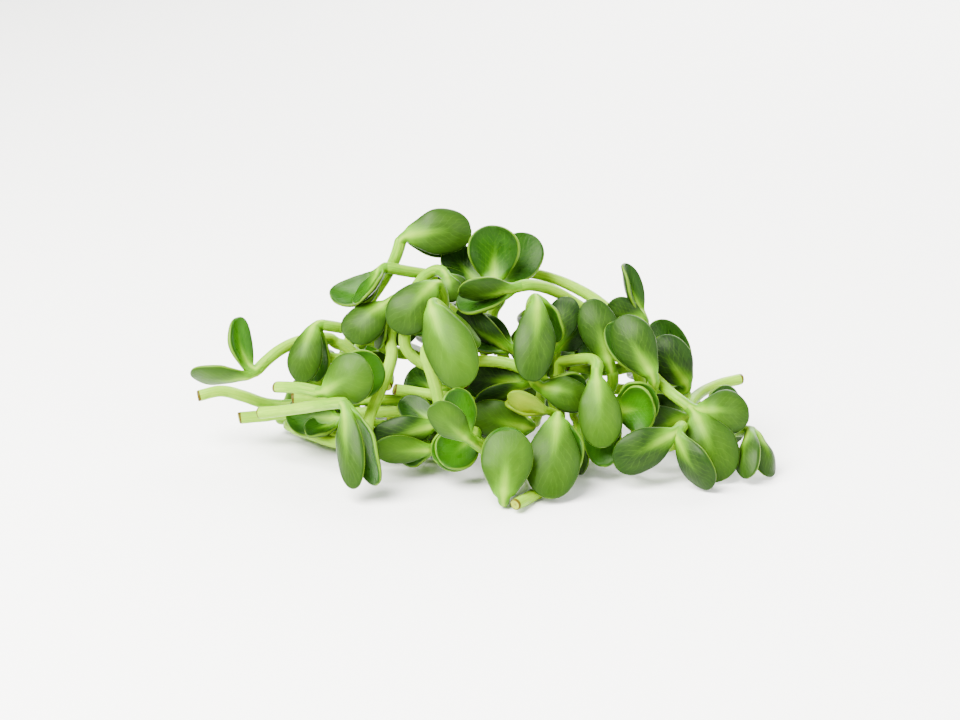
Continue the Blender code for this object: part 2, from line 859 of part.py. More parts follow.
def grown(start, heading, length, pull, margin, space, own, number, radius, chance):
    """A stem that winds on through free room, out of sight where it can, and inside the far face."""
    room, veil = space
    count = max(2, int(length / STRIDE))
    margin = min(margin, far_face(start[0], start[2]) - start[1] - 0.001)
    best, best_value = None, None
    for attempt in range(GROW_TRIES):
        path, direction = [start], unit(heading)
        least, shown = 1.0, 0
        wander = chance.normal(size=3) * 0.5
        for stride in range(count):
            loose = 0.6 if stride == 0 and attempt > 2 else 0.24
            ways = direction + (pull + wander) * 0.10 + chance.normal(size=(WAYS, 3)) * loose
            ways = np.round(ways / np.linalg.norm(ways, axis=1)[:, None], DIGITS)
            ahead = path[-1] + ways * STRIDE * np.array([1, 2.6])[:, None, None]
            free = room.free(ahead, radius, number)
            clear = np.linalg.norm(ahead[:, :, None] - own, axis=-1).min(-1)
            free = np.minimum(free, clear - BLADE_ROOM - radius)
            free = np.minimum(free, far_face(ahead[..., 0], ahead[..., 2]) - ahead[..., 1] - margin)
            if len(path) > 4:
                back = np.linalg.norm(ahead[:, :, None] - np.array(path[:-3]), axis=-1).min(-1)
                free = np.minimum(free, back - 2 * radius)
            hidden = veil.hides(ahead)
            score = np.minimum(free[0], 0.002) * 1200 + np.clip(free[1], -0.002, 0.002) * 800
            score += (ways @ direction) * 1.2 + hidden[0] * 2 + hidden[1] * 1.2
            score[free[0] < STEM_CLEARANCE] -= 100
            pick = int(np.argmax(np.round(score, DIGITS)))
            if free[0, pick] < STEM_CLEARANCE:
                break
            least = min(least, free[0, pick])
            shown += not hidden[0, pick]
            path.append(np.round(ahead[0, pick], DIGITS))
            direction = ways[pick]
        value = round(len(path) + min(least, 0.002) * 500 - 1.5 * shown, DIGITS)
        if best is None or value > best_value:
            best, best_value = path, value
        if len(path) > count and least > 0.0003 and shown < 2:
            break
    return np.array(best)


def far_sprout(number, spot, space, chance):
    """A sprout for the far side, near the spot, with its leaves in free room, or None if there is none."""
    room, veil = space
    best, most = None, 0.0002
    for attempt in range(FAR_TRIES):
        loose = 0.003 + 0.009 * attempt / FAR_TRIES
        x, z = np.array(spot) + chance.normal(size=2) * loose
        z = max(z, 0.005)
        head = np.array([x, far_face(x, z) - 0.004 - abs(chance.normal()) * loose, z])
        outward = unit(np.array([x * 6, 0.9, 0.45]))
        side = unit(np.cross([0, 0, 1.0], outward))
        raised = np.cross(outward, side)
        aim = chance.uniform(0, 2 * np.pi) if z > NEAR_TABLE else chance.uniform(-0.4, np.pi + 0.4)
        lie = cos(aim) * side + sin(aim) * raised
        if z > NEAR_TABLE:
            lie = unit(lie - 0.5 * raised)
        middle = unit(lie + chance.uniform(0.15, 0.6) * outward)
        twist = chance.uniform(-0.9, 0.9)
        over = unit(np.cross(middle, outward))
        fold = unit(cos(twist) * np.cross(middle, -over) + sin(twist) * over)
        opening = chance.uniform(0.30, 0.75)
        ways = [unit(cos(opening) * middle + sign * sin(opening) * fold) for sign in (-1, 1)]
        feel = head + np.vstack([way * far for way in ways for far in (0.007, 0.013, 0.020)])
        if room.free(feel, 0.0015, -2).min() < 0 or veil.hides(feel).mean() < 0.7:
            continue
        leaves = []
        for sign, way in zip((-1, 1), ways):
            tip = head + way * chance.uniform(*LEAF_LENGTHS)
            inner = unit(-sign * fold + sign * way * (fold @ way))
            eye = EYE - (head + tip) / 2
            face = unit(eye - way * (eye @ way))
            turn = degrees(atan2(inner @ np.cross(way, face), inner @ face))
            width, bend, cup = chance.uniform((38, 0.04, 0.15), (50, 0.12, 0.35))
            leaves.append(make_leaf(*np.round(unplace(tip), DIGITS), width, turn, bend, cup))
        sprout = make_sprout(f"far_side_{number}", np.round(unplace(head), DIGITS), leaves, [])
        points = np.vstack([blade_samples(sprout, leaf)[0] for leaf in leaves])
        free = min(room.free(points, BLADE_ROOM, -2).min(), 0.003)
        free = round(free - (~veil.hides(points)).mean() * 0.03, DIGITS)
        if free > most:
            best, most = (sprout, head, middle), free
        if free > 0.0007:
            break
    return best


def build_heap():
    """Every sprout, settled and grown: its leaves, and its stem as a line of points from the head."""
    sprouts = [make_sprout(*row) for row in DRAWN]
    settle(sprouts)
    chance = np.random.default_rng(SEED)
    room = Room()
    seen = []
    for number, sprout in enumerate(sprouts):
        room.add(sprout["line"], STEM_ROOM * sprout["thick"], number)
        seen.append(sprout["line"])
        for leaf in sprout["leaves"]:
            points, _ = blade_samples(sprout, leaf)
            room.add(points, BLADE_ROOM, number)
            seen.append(points)
    space = room, Veil(np.vstack(seen))
    for number, sprout in enumerate(sprouts):
        if not sprout["more"]:
            continue
        line = sprout["line"]
        end = line[-1]
        heading = unit(end - line[-3]) + np.array([0, 0.6, -0.1])
        pull = np.array([-0.5 * np.clip(end[0] / 0.05, -1, 1), 0.8, -0.35])
        radius = STEM_RADIUS * sprout["thick"] + 0.0001
        own = own_leaves(sprout)
        length = sprout["more"]
        more = grown(end, heading, length, pull, INSIDE_FAR_FACE, space, own, number, radius, chance)
        hidden = np.flatnonzero(space[1].hides(more))
        if len(hidden):
            more = more[: hidden[-1] + 1]
        sprout["line"] = np.vstack([line, more[1:]])
        room.add(more[1:], STEM_ROOM * sprout["thick"], number)
    for spot in FAR_SPOTS:
        if len(sprouts) == MOST_SPROUTS:
            break
        found = far_sprout(len(sprouts) - len(DRAWN) + 1, spot, space, chance)
        if found is None:
            continue
        sprout, head, middle = found
        number = len(sprouts)
        heading = np.array([0, -0.3, 0]) - middle
        pull = np.array([-0.3 * np.sign(head[0]), -0.4, -0.5])
        radius = STEM_RADIUS + 0.0001
        own = own_leaves(sprout)
        line = grown(head, heading, FAR_STEM, pull, -0.004, space, own, number, radius, chance)
        shown = np.flatnonzero(~space[1].hides(line[FAR_NECK:]))
        if len(shown):
            line = line[: shown[0] + FAR_NECK - 1]
        if len(line) < SHORTEST_STEM:
            continue
        sprout["line"] = line
        for leaf in sprout["leaves"]:
            room.add(blade_samples(sprout, leaf)[0], BLADE_ROOM, number)
        room.add(line, STEM_ROOM, number)
        sprouts.append(sprout)
    for sprout in sprouts:
        low = [sprout["line"][:, 2].min() - STEM_RADIUS * sprout["thick"]]
        for leaf in sprout["leaves"]:
            low.append(blade_samples(sprout, leaf)[0][:, 2].min() - BLADE_THICKNESS / 2)
        sprout["low"] = min(low) if min(low) < SAG else 0
    return sprouts


def pressed(sprout, points):
    """Points of a sprout that nearly lies on the table, sagging until it does."""
    sunk = points.copy()
    share = np.clip(1 - (points[..., 2] - sprout["low"]) / SAG_HEIGHT, 0, 1) ** 2
    sunk[..., 2] -= sprout["low"] * share
    return sunk


def new_object(name, data, collection):
    made = bpy.data.objects.new(name, data)
    collection.objects.link(made)
    return made


def evaluated_mesh(made):
    """The object's mesh, with its modifiers or its curve's bevel applied."""
    bpy.context.view_layer.update()
    evaluated = made.evaluated_get(bpy.context.evaluated_depsgraph_get())
    return bpy.data.meshes.new_from_object(evaluated)


def solid_mesh(made):
    """The evaluated mesh with the points of its caps welded to those of its sides. It uses up the object."""
    mesh = evaluated_mesh(made)
    work = bmesh.new()
    work.from_mesh(mesh)
    bmesh.ops.remove_doubles(work, verts=work.verts, dist=WELD)
    bmesh.ops.recalc_face_normals(work, faces=work.faces)
    work.to_mesh(mesh)
    work.free()
    bpy.data.objects.remove(made)
    return mesh


def top_of_stem(sprout):
    """A point straight on past the head, where the solid stem starts, so both leaves start inside it."""
    line = sprout["line"]
    return line[0] + STEM_TOP * unit(line[0] - line[2])


def stem_solid(sprout, collection):
    rings = int(np.clip(round(length_of(sprout["line"]) / RING_SPACING) + 1, *RINGS))
    line = np.vstack([top_of_stem(sprout), smooth_line(sprout["line"], rings)])
    curve = bpy.data.curves.new("stem", "CURVE")
    curve.dimensions = "3D"
    curve.bevel_depth = STEM_RADIUS * sprout["thick"]
    curve.bevel_resolution = 1
    curve.use_fill_caps = True
    spline = curve.splines.new("POLY")
    spline.points.add(len(line) - 1)
    for point, at in zip(spline.points, pressed(sprout, line)):
        point.co = (*at, 1)
    return solid_mesh(new_object("stem", curve, collection))


def blade_solid(sprout, leaf, collection):
    """A leaf's middle surface as a grid of points, made as thick as a seed leaf."""
    work = bmesh.new()
    bmesh.ops.create_grid(work, x_segments=len(ALONG) - 1, y_segments=2, size=1)
    for vertex in work.verts:
        row = round((vertex.co.x + 1) / 2 * (len(ALONG) - 1))
        point = blade_points(sprout, leaf, np.array(ALONG[row]), np.array(vertex.co.y))
        vertex.co = pressed(sprout, point)
    mesh = bpy.data.meshes.new("blade")
    work.to_mesh(mesh)
    work.free()
    made = new_object("blade", mesh, collection)
    thicken = made.modifiers.new("thickness", "SOLIDIFY")
    thicken.thickness = BLADE_THICKNESS
    thicken.offset = 0
    return solid_mesh(made)


def green(name, colour):
    material = bpy.data.materials.new(name)
    material.use_nodes = True
    shader = material.node_tree.nodes["Principled BSDF"]
    shader.inputs["Base Color"].default_value = (*colour, 1)
    shader.inputs["Roughness"].default_value = ROUGHNESS
    shader.inputs["Metallic"].default_value = 0
    return material


def sprout_solid(sprout, collection):
    """The stem and both leaves joined into one solid, with what touches the table pressed flat on it."""
    made = new_object(sprout["name"], stem_solid(sprout, collection), collection)
    blades = []
    for leaf in sprout["leaves"]:
        blades.append(new_object("blade", blade_solid(sprout, leaf, collection), collection))
        join = made.modifiers.new("join", "BOOLEAN")
        join.operation = "UNION"
        join.solver = "EXACT"
        join.object = blades[-1]
    mesh = evaluated_mesh(made)
    if len(mesh.polygons) < len(made.data.polygons):
        for join in made.modifiers:
            join.solver = "MANIFOLD"
        mesh = evaluated_mesh(made)
    made.modifiers.clear()
    made.data = mesh
    for blade in blades:
        bpy.data.objects.remove(blade)
    for vertex in mesh.vertices:
        if vertex.co.z < FOOT:
            vertex.co.z = 0
        vertex.co.x -= HEAP_MIDDLE[0]
        vertex.co.y -= HEAP_MIDDLE[1]
    mesh.shade_smooth()
    mesh.set_sharp_from_angle(angle=SHARP_FROM)
    mesh.materials.clear()
    mesh.materials.append(green(sprout["name"], YOUNG_GREEN if sprout["name"] == YOUNG else LEAF_GREEN))


for leftover in list(bpy.data.objects):
    bpy.data.objects.remove(leftover)
heap = bpy.data.collections.new("sunflower_sprout_heap")
bpy.context.scene.collection.children.link(heap)
for sprout in build_heap():
    sprout_solid(sprout, heap)
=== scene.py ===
"""The looks of a loose heap of cut sunflower sprouts.

The layout of the heap is worked out here as it is for the solids, and one fine piece replaces each
sprout's solid: a round stem that flares into two seed leaves with soft rims, ribs and veins. Then come
the materials, the floor, the light and the camera.
"""

from math import atan2, cos, degrees, pi, radians, sin

import bpy
import numpy as np
from mathutils import Matrix, Vector

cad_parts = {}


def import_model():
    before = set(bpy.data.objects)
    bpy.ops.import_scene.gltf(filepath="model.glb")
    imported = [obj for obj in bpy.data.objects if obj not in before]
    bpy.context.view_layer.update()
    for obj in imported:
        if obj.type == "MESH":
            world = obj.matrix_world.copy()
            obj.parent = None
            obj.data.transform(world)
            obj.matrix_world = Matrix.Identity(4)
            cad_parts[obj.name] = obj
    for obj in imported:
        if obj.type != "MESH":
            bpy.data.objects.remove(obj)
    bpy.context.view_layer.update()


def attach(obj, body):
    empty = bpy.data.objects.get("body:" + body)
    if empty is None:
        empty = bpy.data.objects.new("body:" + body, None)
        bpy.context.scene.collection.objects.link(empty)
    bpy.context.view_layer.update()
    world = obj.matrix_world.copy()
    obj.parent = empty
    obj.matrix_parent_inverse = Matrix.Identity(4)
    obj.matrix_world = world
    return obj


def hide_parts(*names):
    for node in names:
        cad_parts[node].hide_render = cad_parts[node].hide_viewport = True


# The drawing grid. Everything is in metres but the grid's own steps.
STEP = 0.0003
GRID_SIZE = (960, 720)
GRID_CENTRE = (480.0, 360.0)
FOOT_ROW = 458.0
EYE_DISTANCE = 0.75
EYE_TILT = radians(18)
RIGHT = np.array([1.0, 0.0, 0.0])
UP = np.array([0.0, sin(EYE_TILT), cos(EYE_TILT)])
AWAY = np.array([0.0, cos(EYE_TILT), -sin(EYE_TILT)])
EYE = (FOOT_ROW - GRID_CENTRE[1]) * STEP * UP - EYE_DISTANCE * AWAY

# A sprout. The neck is a share of the leaf's width, and the widest place a share of its length.
STEM_RADIUS = 0.00175
BLADE_THICKNESS = 0.0012
NECK_WIDTH = 0.28
WIDEST_AT = 0.57
TIP_BLUNTNESS = 2.3
LEAF_LENGTHS = (0.019, 0.0235)

# A number too small to divide by, and how many grid steps a leaf's lean is measured over.
TINY = 1e-9
LEAN_STEPS = 60

# Room kept round each sprout while the heap settles, and how far from its head a sprout is one body,
# with the further stretch over which its own parts come to keep clear of each other.
STEM_ROOM = 0.00185
BLADE_ROOM = 0.00085
GAP = 0.0003
JOINED = 0.011
JOINED_FADE = 0.006
SAMPLE = 0.0021

# How it settles: the rounds, the ones that smooth a stem twice, the lowest that a leaf's middle lies,
# how firmly a leaf is held where nothing touches it, and how stiff it is against sliding and leaning.
ROUNDS = 400
SMOOTH_ROUNDS = 320
LEAF_FOOT = 0.0007
LOOSE = 0.04
STIFFNESS = (1e-6, 0.072, 0.072)

# The air of the heap, as small cubes, and the cells of the drawing grid that hide what lies behind. A
# sprout counts in the cubes within its reach, NOBODY owns no cube, and an OPEN cell hides nothing.
VOXEL = 0.001
REACH = 6
LOW = np.array([-0.105, -0.070, -0.004])
HIGH = np.array([0.105, 0.070, 0.090])
FARTHEST = 0.02
NOBODY = -2
CELL = 5
OPEN = 999.0

# How stems grow on, stride by stride, and how the far side is filled. Choices are made on rounded
# numbers, so that every machine grows the same heap. A far sprout feels for room along its leaves
# before they are made, needs the first FAR_ROOM, and is taken at once if it has the second.
SEED = 5
DIGITS = 7
GRID_DIGITS = 5
STRIDE = 0.0022
GROW_TRIES = 20
LOOK_AHEAD = np.array([1, 2.6])[:, None, None]
ROOM_ENOUGH = 0.002
WAYS = 16
STEM_CLEARANCE = 0.00012
STEM_SPARE = 0.0001
WANDER = 0.5
LOOSE_WAYS = (0.24, 0.6)
INSIDE_FAR_FACE = 0.012
FAR_HALF_LENGTH = 0.105
FAR_DEPTH = 0.050
FAR_LEAN = 0.55
FAR_STEM = 0.034
FAR_TRIES = 400
FAR_ROOM = (0.0002, 0.0007)
FAR_SPREAD = (0.003, 0.009)
FAR_TWIST = 0.9
FAR_OPENING = (0.30, 0.75)
FAR_LEAF = ((38, 0.04, 0.15), (50, 0.12, 0.35))
FEELERS = (0.007, 0.013, 0.020)
FEELER_ROOM = 0.0015
FAR_NECK = 2
FAR_MARGIN = -0.004
OWN_REACH = 0.008
SHORTEST_STEM = 7
NEAR_TABLE = 0.016

# How near the table a sprout has to be to sag onto it, and how much of its height bends.
SAG = 0.0022
SAG_HEIGHT = 0.014

# Where the heap stands after its middle is moved to the origin.
HEAP_MIDDLE = np.array([0.00025, 0.00351, 0.0])
YOUNG = "young_yellow"

# The fine stems, with two waves in their thickness, each a height and a length. A cut end is rings of a
# share of the stem's radius, each a step beyond the end.
FINE_SEED = 1000
STEM_RING = 0.0007
STEM_SIDES = 20
STEM_DOME = 0.0020
STEM_WAVES = ((0.035, 0.0085), (0.02, 0.0032))
STEM_OVAL = 0.03
STEM_PALE = (0.0, 0.022)
CUT_MARK = 0.001
CUT_SLANT = 0.16
CUT_RINGS = ((0.0, 0.95), (0.00012, 0.86), (-0.00004, 0.66), (-0.00022, 0.36), (-0.00026, 0.0))

# The fine leaves: rings from the stem to the tip, and points round each ring.
LEAF_RINGS = 46
LEAF_SIDES = 52
ROOT_LENGTH = 0.0060
ROOT_RINGS = 10
ROOT_SHARE = 0.97
SOFTENING = 14
NECK_THICKNESS = 0.0030
RIM_RADIUS = 0.00062
DOME = 0.0009
TIP_ROUND = 0.0008
RIB_HEIGHT = 0.00045
RIB_WIDTH = 0.0021
RIB_FLARE = 0.0026
RIB_LINE = 0.0006
GROOVE = 0.00016
GROOVE_WIDTH = 0.0005
WAVE = 0.00028

# The leaf's rings crowd towards its tip. Its root starts at a share of its own width and ends near the
# head, and the side it faces is read a share of the rings along.
RING_CROWDING = 1.7
ROOT_FROM = 0.3
ROOT_TO = 0.0007
FLAT_FROM = 0.3

# Where forms come in and fade out, as shares of the leaf's length, and the half widths that get a dome.
WAVE_IN = (0.15, 0.5)
RIM_IN = (0.02, 0.32)
THIN_IN = (0.0, 0.25)
RIB_SPAN = ((0.02, 0.15), (0.15, 0.62))
GROOVE_SPAN = ((0.1, 0.25), (0.45, 0.85))
DOME_SPAN = ((0.1, 0.45), (0.6, 1.0))
DOME_WIDTHS = (0.002, 0.006)
NECK_IN = (0.06, 0.28)
MARGIN_IN = (0.1, 0.3)
MARGIN_SIDES = (0.955, 0.995)
MARGIN_TIP = (0.988, 0.998)
PALE_OUT = (-0.05, 0.24)
FLARE_OUT = (0.0, 0.6)
MIDRIB_OUT = (0.2, 0.8)
MIDRIB_PALE = 0.85

# Between which the tone lies of a sprout that has none in the table.
FAR_TONES = (0.15, 0.75)

# The floor, the light and the camera.
SENSOR = 36.0
FLOOR_SIZE = 6.0
FLOOR_DROP = -0.0002
FLOOR_WHITE = (0.93, 0.925, 0.91, 1)
SKY = 6.5
SKY_LOW = 0.35
SKY_RISE = (-0.1, 0.7)
LAMPS = (
    ("key", (-0.45, -0.40, 0.80), 0.75, 80.0, (1.0, 0.99, 0.96)),
    ("fill", (0.75, -0.45, 0.50), 0.8, 14.0, (0.98, 0.99, 1.0)),
    ("back", (0.30, 0.85, 0.65), 0.9, 40.0, (1.0, 1.0, 0.98)),
)
LIT_SPOT = Vector((0, 0, 0.02))


def make_leaf(across, down, deep, width, turn, bend=0.05, cup=0.2, sway=0.0):
    """A seed leaf from the head to a tip. Turn 0 shows the near side its inner face, and 180 its outer."""
    form = {"bend": bend, "cup": cup, "sway": sway, "slide": np.zeros(3)}
    return {"tip": (across, down, deep), "width": width * STEP, "turn": radians(turn), **form}


def make_sprout(name, tone_and_shade, head, leaves, stem, more=0, thick=1.0):
    """A sprout from its head down the drawn points of its stem, which grows on by more millimetres."""
    leaves = [make_leaf(*leaf) for leaf in leaves]
    grown_on = {"more": more / 1000, "thick": thick}
    return {"name": name, "tone_and_shade": tone_and_shade, "head": tuple(head), "leaves": leaves, "stem": stem, **grown_on}


# The drawn sprouts: name, how light and yellow it is from 0 to 1, where the low values are painted shade
# for sprouts that lie deep in the heap, head, leaves, points of the stem, millimetres that it grows on,
# and thickness.
DRAWN = [
    ("far_left", 0.75, (254, 374, -10), [(190, 373, -16, 34, 118, 0.06),
     (238, 317, -8, 30, 40, 0.0, 0.3, 0.15)], [(264, 363, -8), (280, 350, 0), (300, 341, 14),
     (325, 338, 26)], 34),
    ("hook_left", 0.5, (316, 324, 0), [(301, 383, -18, 34, 200, 0.16, 0.3), (315, 382, 8, 30, 30, 0.08)],
     [(330, 326, 4), (348, 329, 14)], 38),
    ("palm_left", 0.85, (323, 393, -58), [(371, 368, -76, 50, 170, 0.1),
     (383, 364, -52, 50, 15, 0.08, 0.15)], [(300, 388, -42), (276, 387, -26)]),
    ("crest", 0.5, (402, 236, 8), [(471, 229, 8, 46, 175, 0.1, 0.25), (468, 240, 34, 40, 10)],
     [(396, 256, 10), (386, 276, 18), (372, 297, 26), (358, 318, 34), (348, 345, 42)], 20),
    ("crown_left", 0.5, (382, 266, -5), [(330, 296, -2, 38, 40, 0.16, 0.3, 0.14),
     (357, 304, -36, 30, 65, 0.05, 0.3)], [(400, 270, -2), (437, 276, 8), (455, 280, 22)], 30),
    ("shoulder_left", 0.45, (387, 304, -22), [(348, 340, -34, 42, 205, 0.12, 0.25),
     (378, 349, -18, 32, 250, 0.08)], [(400, 298, -14), (412, 293, 0)], 34),
    ("middle_left", 0.5, (436, 282, -34), [(394, 331, -50, 46, 190, 0.14, 0.25), (406, 320, -28, 32, 20)],
     [(442, 292, -20), (444, 304, -6)], 30),
    ("middle_bright", 0.95, (430, 301, -62), [(466, 387, -90, 50, 195, 0.08, 0.35),
     (480, 346, -44, 32, 125, 0.02, 0.3)], [(440, 308, -50), (450, 320, -34)], 30),
    ("pale_hook", 0.6, (538, 388, -52), [(589, 400, -48, 36, 160, 0.1, 0.3), (586, 388, -28, 34, 30)],
     [(528, 372, -44), (505, 363, -38), (470, 361, -34), (432, 366, -34), (414, 358, -38),
     (405, 345, -42), (405, 331, -46)]),
    ("middle_right", 0.45, (537, 297, -46), [(531, 382, -74, 40, 172, 0.08, 0.3),
     (556, 343, -30, 32, 35, 0.1, 0.3)], [(532, 304, -30), (530, 322, -12)], 30),
    ("dark_right", 0.12, (556, 348, -6), [(568, 297, 2, 34, 170, 0.08), (583, 330, 8, 30, 30)],
     [(545, 354, -2)], 30),
    ("upper_right", 0.42, (516, 287, -34), [(458, 291, -48, 34, 130, 0.05, 0.3),
     (456, 304, -22, 36, 40, 0.08, 0.3)], [(531, 285, -26), (552, 290, -8), (577, 304, 12),
     (602, 322, 22), (632, 346, 30)], 14),
    ("shade_middle", 0.1, (513, 350, -12), [(458, 309, -14, 32, 130, 0.05, 0.3), (466, 322, 8, 42, 20)],
     [(530, 354, -2)], 34),
    ("top_right", 0.3, (494, 286, 4), [(493, 225, 2, 52, -6, 0.1, 0.3),
     (535, 236, 34, 48, -12, 0.08, 0.15)], [(500, 296, 14)], 38),
    ("top_middle", 0.15, (484, 289, 10), [(438, 274, -4, 36, 50, 0.18, 0.4),
     (446, 248, 18, 38, 10, 0.08)], [(496, 284, 20), (512, 276, 30), (530, 273, 36), (560, 281, 38),
     (590, 296, 34), (612, 312, 26)], 8),
    ("small_top", 0.5, (446, 275, -12), [(453, 302, -20, 26, 175, 0.08), (464, 292, -4, 20, 160)],
     [(438, 270, -2), (428, 274, 12), (418, 284, 24), (410, 298, 32)]),
    ("upright_right", 0.35, (611, 368, -20), [(590, 299, -20, 38, 178, 0.06, 0.3),
     (575, 330, 26, 34, 20, 0.08)], [(613, 380, -16), (608, 392, -4), (600, 404, 8), (592, 418, 14)]),
    ("leaning_right", 0.32, (655, 378, -54), [(619, 317, -50, 42, 172, 0.1, 0.3),
     (609, 323, -30, 38, 20, 0.08, 0.25)], [(652, 388, -42)], 30),
    ("foot_right", 0.6, (694, 411, -62), [(724, 478, -72, 52, 178, 0.08), (749, 414, -52, 44, 165, 0.08)],
     [(684, 403, -58), (671, 393, -50), (657, 380, -34), (645, 368, -20)], 28),
    ("behind_right", 0.2, (708, 420, -14), [(735, 389, -6, 32, 15, 0.05, 0.15), (745, 432, 0, 34, 170)],
     [(700, 426, 0)], 30),
    ("far_right", 0.35, (753, 431, -34), [(749, 478, -70, 30, 225, 0.12, 0.3),
     (769, 477, -50, 30, 125, 0.1, 0.3)], [(742, 431, -18), (730, 432, -2)], 30),
    ("low_right", 0.2, (677, 431, -80), [(614, 464, -86, 40, 172, 0.08),
     (712, 486, -90, 34, 215, 0.1, 0.25)], [(682, 426, -66)], 30),
    ("cup_right", 0.8, (613, 411, -46), [(657, 396, -52, 44, 10, 0.1, 0.35),
     (655, 408, -68, 46, 0, 0.12, 0.35)], [(603, 411, -30)], 30),
    ("under_right", 0.3, (688, 417, -30), [(631, 434, -46, 42, 170, 0.06), (640, 412, -10, 40, 170)],
     [(690, 404, -12), (702, 392, 12), (720, 384, 30), (741, 379, 40)]),
    ("front_right", 0.85, (596, 374, -66), [(603, 448, -86, 42, 178, 0.08, 0.25),
     (604, 467, -71, 40, 10, 0.1, 0.3)], [(597, 364, -52), (588, 359, -28), (560, 362, -8)], 26),
    ("sliver_right", 0.35, (580, 430, -44), [(583, 473, -64, 24, 230, 0.08), (570, 472, -54, 30, 20)],
     [(578, 420, -30)], 28),
    ("young_yellow", 0.7, (549, 411, -84), [(508, 394, -94, 22, 150, 0.1),
     (505, 402, -84, 22, 60, 0.1, 0.3)], [(556, 414, -70)], 20, 0.7),
    ("front_face", 0.85, (503, 499, -128), [(510, 430, -117, 50, 180, 0.05, 0.15),
     (508, 427, -95, 48, 0, 0.05, 0.15)], [(506, 488, -108), (512, 474, -84)], 24),
    ("front_drop", 0.6, (557, 414, -84), [(549, 499, -117, 52, 176, 0.08), (565, 478, -86, 44, 10)],
     [(560, 424, -66), (562, 446, -62), (558, 466, -73), (547, 486, -96), (530, 497, -119),
     (515, 505, -143)]),
    ("middle_flat", 0.6, (533, 428, -60), [(469, 413, -62, 38, 170), (478, 424, -36, 38, 20)],
     [(524, 421, -46), (505, 411, -30), (460, 400, -24), (420, 393, -30), (394, 389, -34)]),
    ("middle_dark", 0.1, (527, 383, -34), [(474, 402, -44, 26, 130, 0.05, 0.3), (468, 376, -10, 44, 170)],
     [(540, 380, -22)], 34),
    ("front_pair", 0.8, (469, 439, -100), [(432, 404, -122, 32, 165, 0.12, 0.25),
     (453, 389, -100, 36, 25, 0.12, 0.35)], [(476, 443, -92), (485, 450, -82), (494, 458, -72)], 22),
    ("front_cup", 0.8, (479, 431, -74), [(441, 463, -92, 42, 12, 0.1, 0.3),
     (436, 462, -77, 44, 0, 0.1, 0.3)], [(472, 432, -68), (460, 427, -52), (445, 417, -34),
     (420, 412, -22), (385, 412, -14), (350, 413, -8)]),
    ("dark_left", 0.12, (438, 424, -60), [(371, 440, -64, 34, 170, 0.08), (400, 400, -44, 30, 20)],
     [(446, 422, -48)], 30),
    ("low_left", 0.75, (434, 449, -72), [(373, 449, -88, 28, 165, 0.06), (400, 455, -46, 28, 20)],
     [(438, 446, -56), (420, 446, -42), (345, 444, -20), (303, 432, 10)], 10),
    ("front_left", 0.42, (347, 404, -88), [(355, 489, -112, 32, 215),
     (377, 485, -108, 34, 45, 0.06, 0.3)], [(338, 403, -78), (322, 405, -60), (302, 408, -40),
     (281, 411, -22), (259, 413, -8)]),
    ("dark_far_left", 0.3, (340, 420, -10), [(286, 412, -4, 44, 20), (305, 432, -20, 30, 50, 0.08, 0.3)],
     [(350, 420, -6)], 34),
    ("edge_right", 0.1, (689, 386, -6), [(656, 338, -14, 44, 172, 0.12), (656, 320, 8, 44, 20, 0.1)],
     [(680, 391, 2), (660, 393, 6), (635, 391, 10), (610, 388, 14)], 16),
    ("spire_right", 0.2, (645, 320, 14), [(624, 263, 10, 30, 60, 0.06, 0.5),
     (606, 308, 8, 34, 165, 0.08)], [(642, 330, 24)], 34),
    ("shade_left", 0.15, (444, 390, -22), [(405, 378, -16, 38, 20), (410, 402, -20, 26, 60)],
     [(452, 391, -12)], 30),
    ("crossing_left", 0.4, (410, 305, 30), [(430, 330, 20, 36, 20), (395, 345, 36, 34, 170)],
     [(400, 312, 18), (390, 335, 6), (392, 355, -14), (386, 376, -34), (377, 398, -52), (369, 420, -64),
     (366, 442, -72)]),
    ("cut_far", None, (300, 404, 30), [(345, 404, 40, 34, 20), (335, 425, 24, 34, 170)], [(285, 405, 30),
     (264, 403, 30), (243, 396, 28), (221, 391, 26), (198, 396, 22)]),
    ("cut_low", None, (440, 404, 10), [(480, 384, 14, 36, 20), (482, 402, 34, 34, 170)], [(425, 402, 4),
     (390, 400, 0), (345, 400, -2), (292, 399, -6)]),
    ("cut_long", None, (420, 428, 4), [(466, 428, 14, 38, 20), (455, 446, -10, 38, 170)], [(405, 427, 4),
     (370, 424, 2), (300, 413, 0), (262, 416, 0), (239, 418, -2)]),
]

# Where the far side's sprouts have their heads: a place along the heap and a height.
FAR_SPOTS = [
    (-0.012, 0.054), (0.014, 0.052), (-0.034, 0.042), (-0.008, 0.040), (0.020, 0.038), (0.044, 0.034),
    (-0.050, 0.026), (-0.026, 0.026), (0.000, 0.024), (0.026, 0.024), (0.054, 0.020), (-0.060, 0.010),
    (-0.038, 0.010), (-0.014, 0.009), (0.012, 0.009), (0.036, 0.009), (0.060, 0.009), (0.000, 0.060),
    (0.032, 0.044), (-0.022, 0.034), (0.006, 0.032), (0.034, 0.028), (-0.042, 0.018), (-0.012, 0.018),
    (0.014, 0.018), (0.042, 0.014), (-0.068, 0.012), (0.070, 0.008),
]


def unit(vector):
    return vector / np.linalg.norm(vector)


def place(grid):
    """Points of the drawing grid (across, down, deep) as points of the world."""
    grid = np.asarray(grid, float)
    widen = 1 + grid[..., 2] * STEP / EYE_DISTANCE
    across = (grid[..., 0] - GRID_CENTRE[0]) * STEP * widen
    rise = (GRID_CENTRE[1] - grid[..., 1]) * STEP * widen + (FOOT_ROW - GRID_CENTRE[1]) * STEP
    deep = grid[..., 2] * STEP
    return across[..., None] * RIGHT + rise[..., None] * UP + deep[..., None] * AWAY


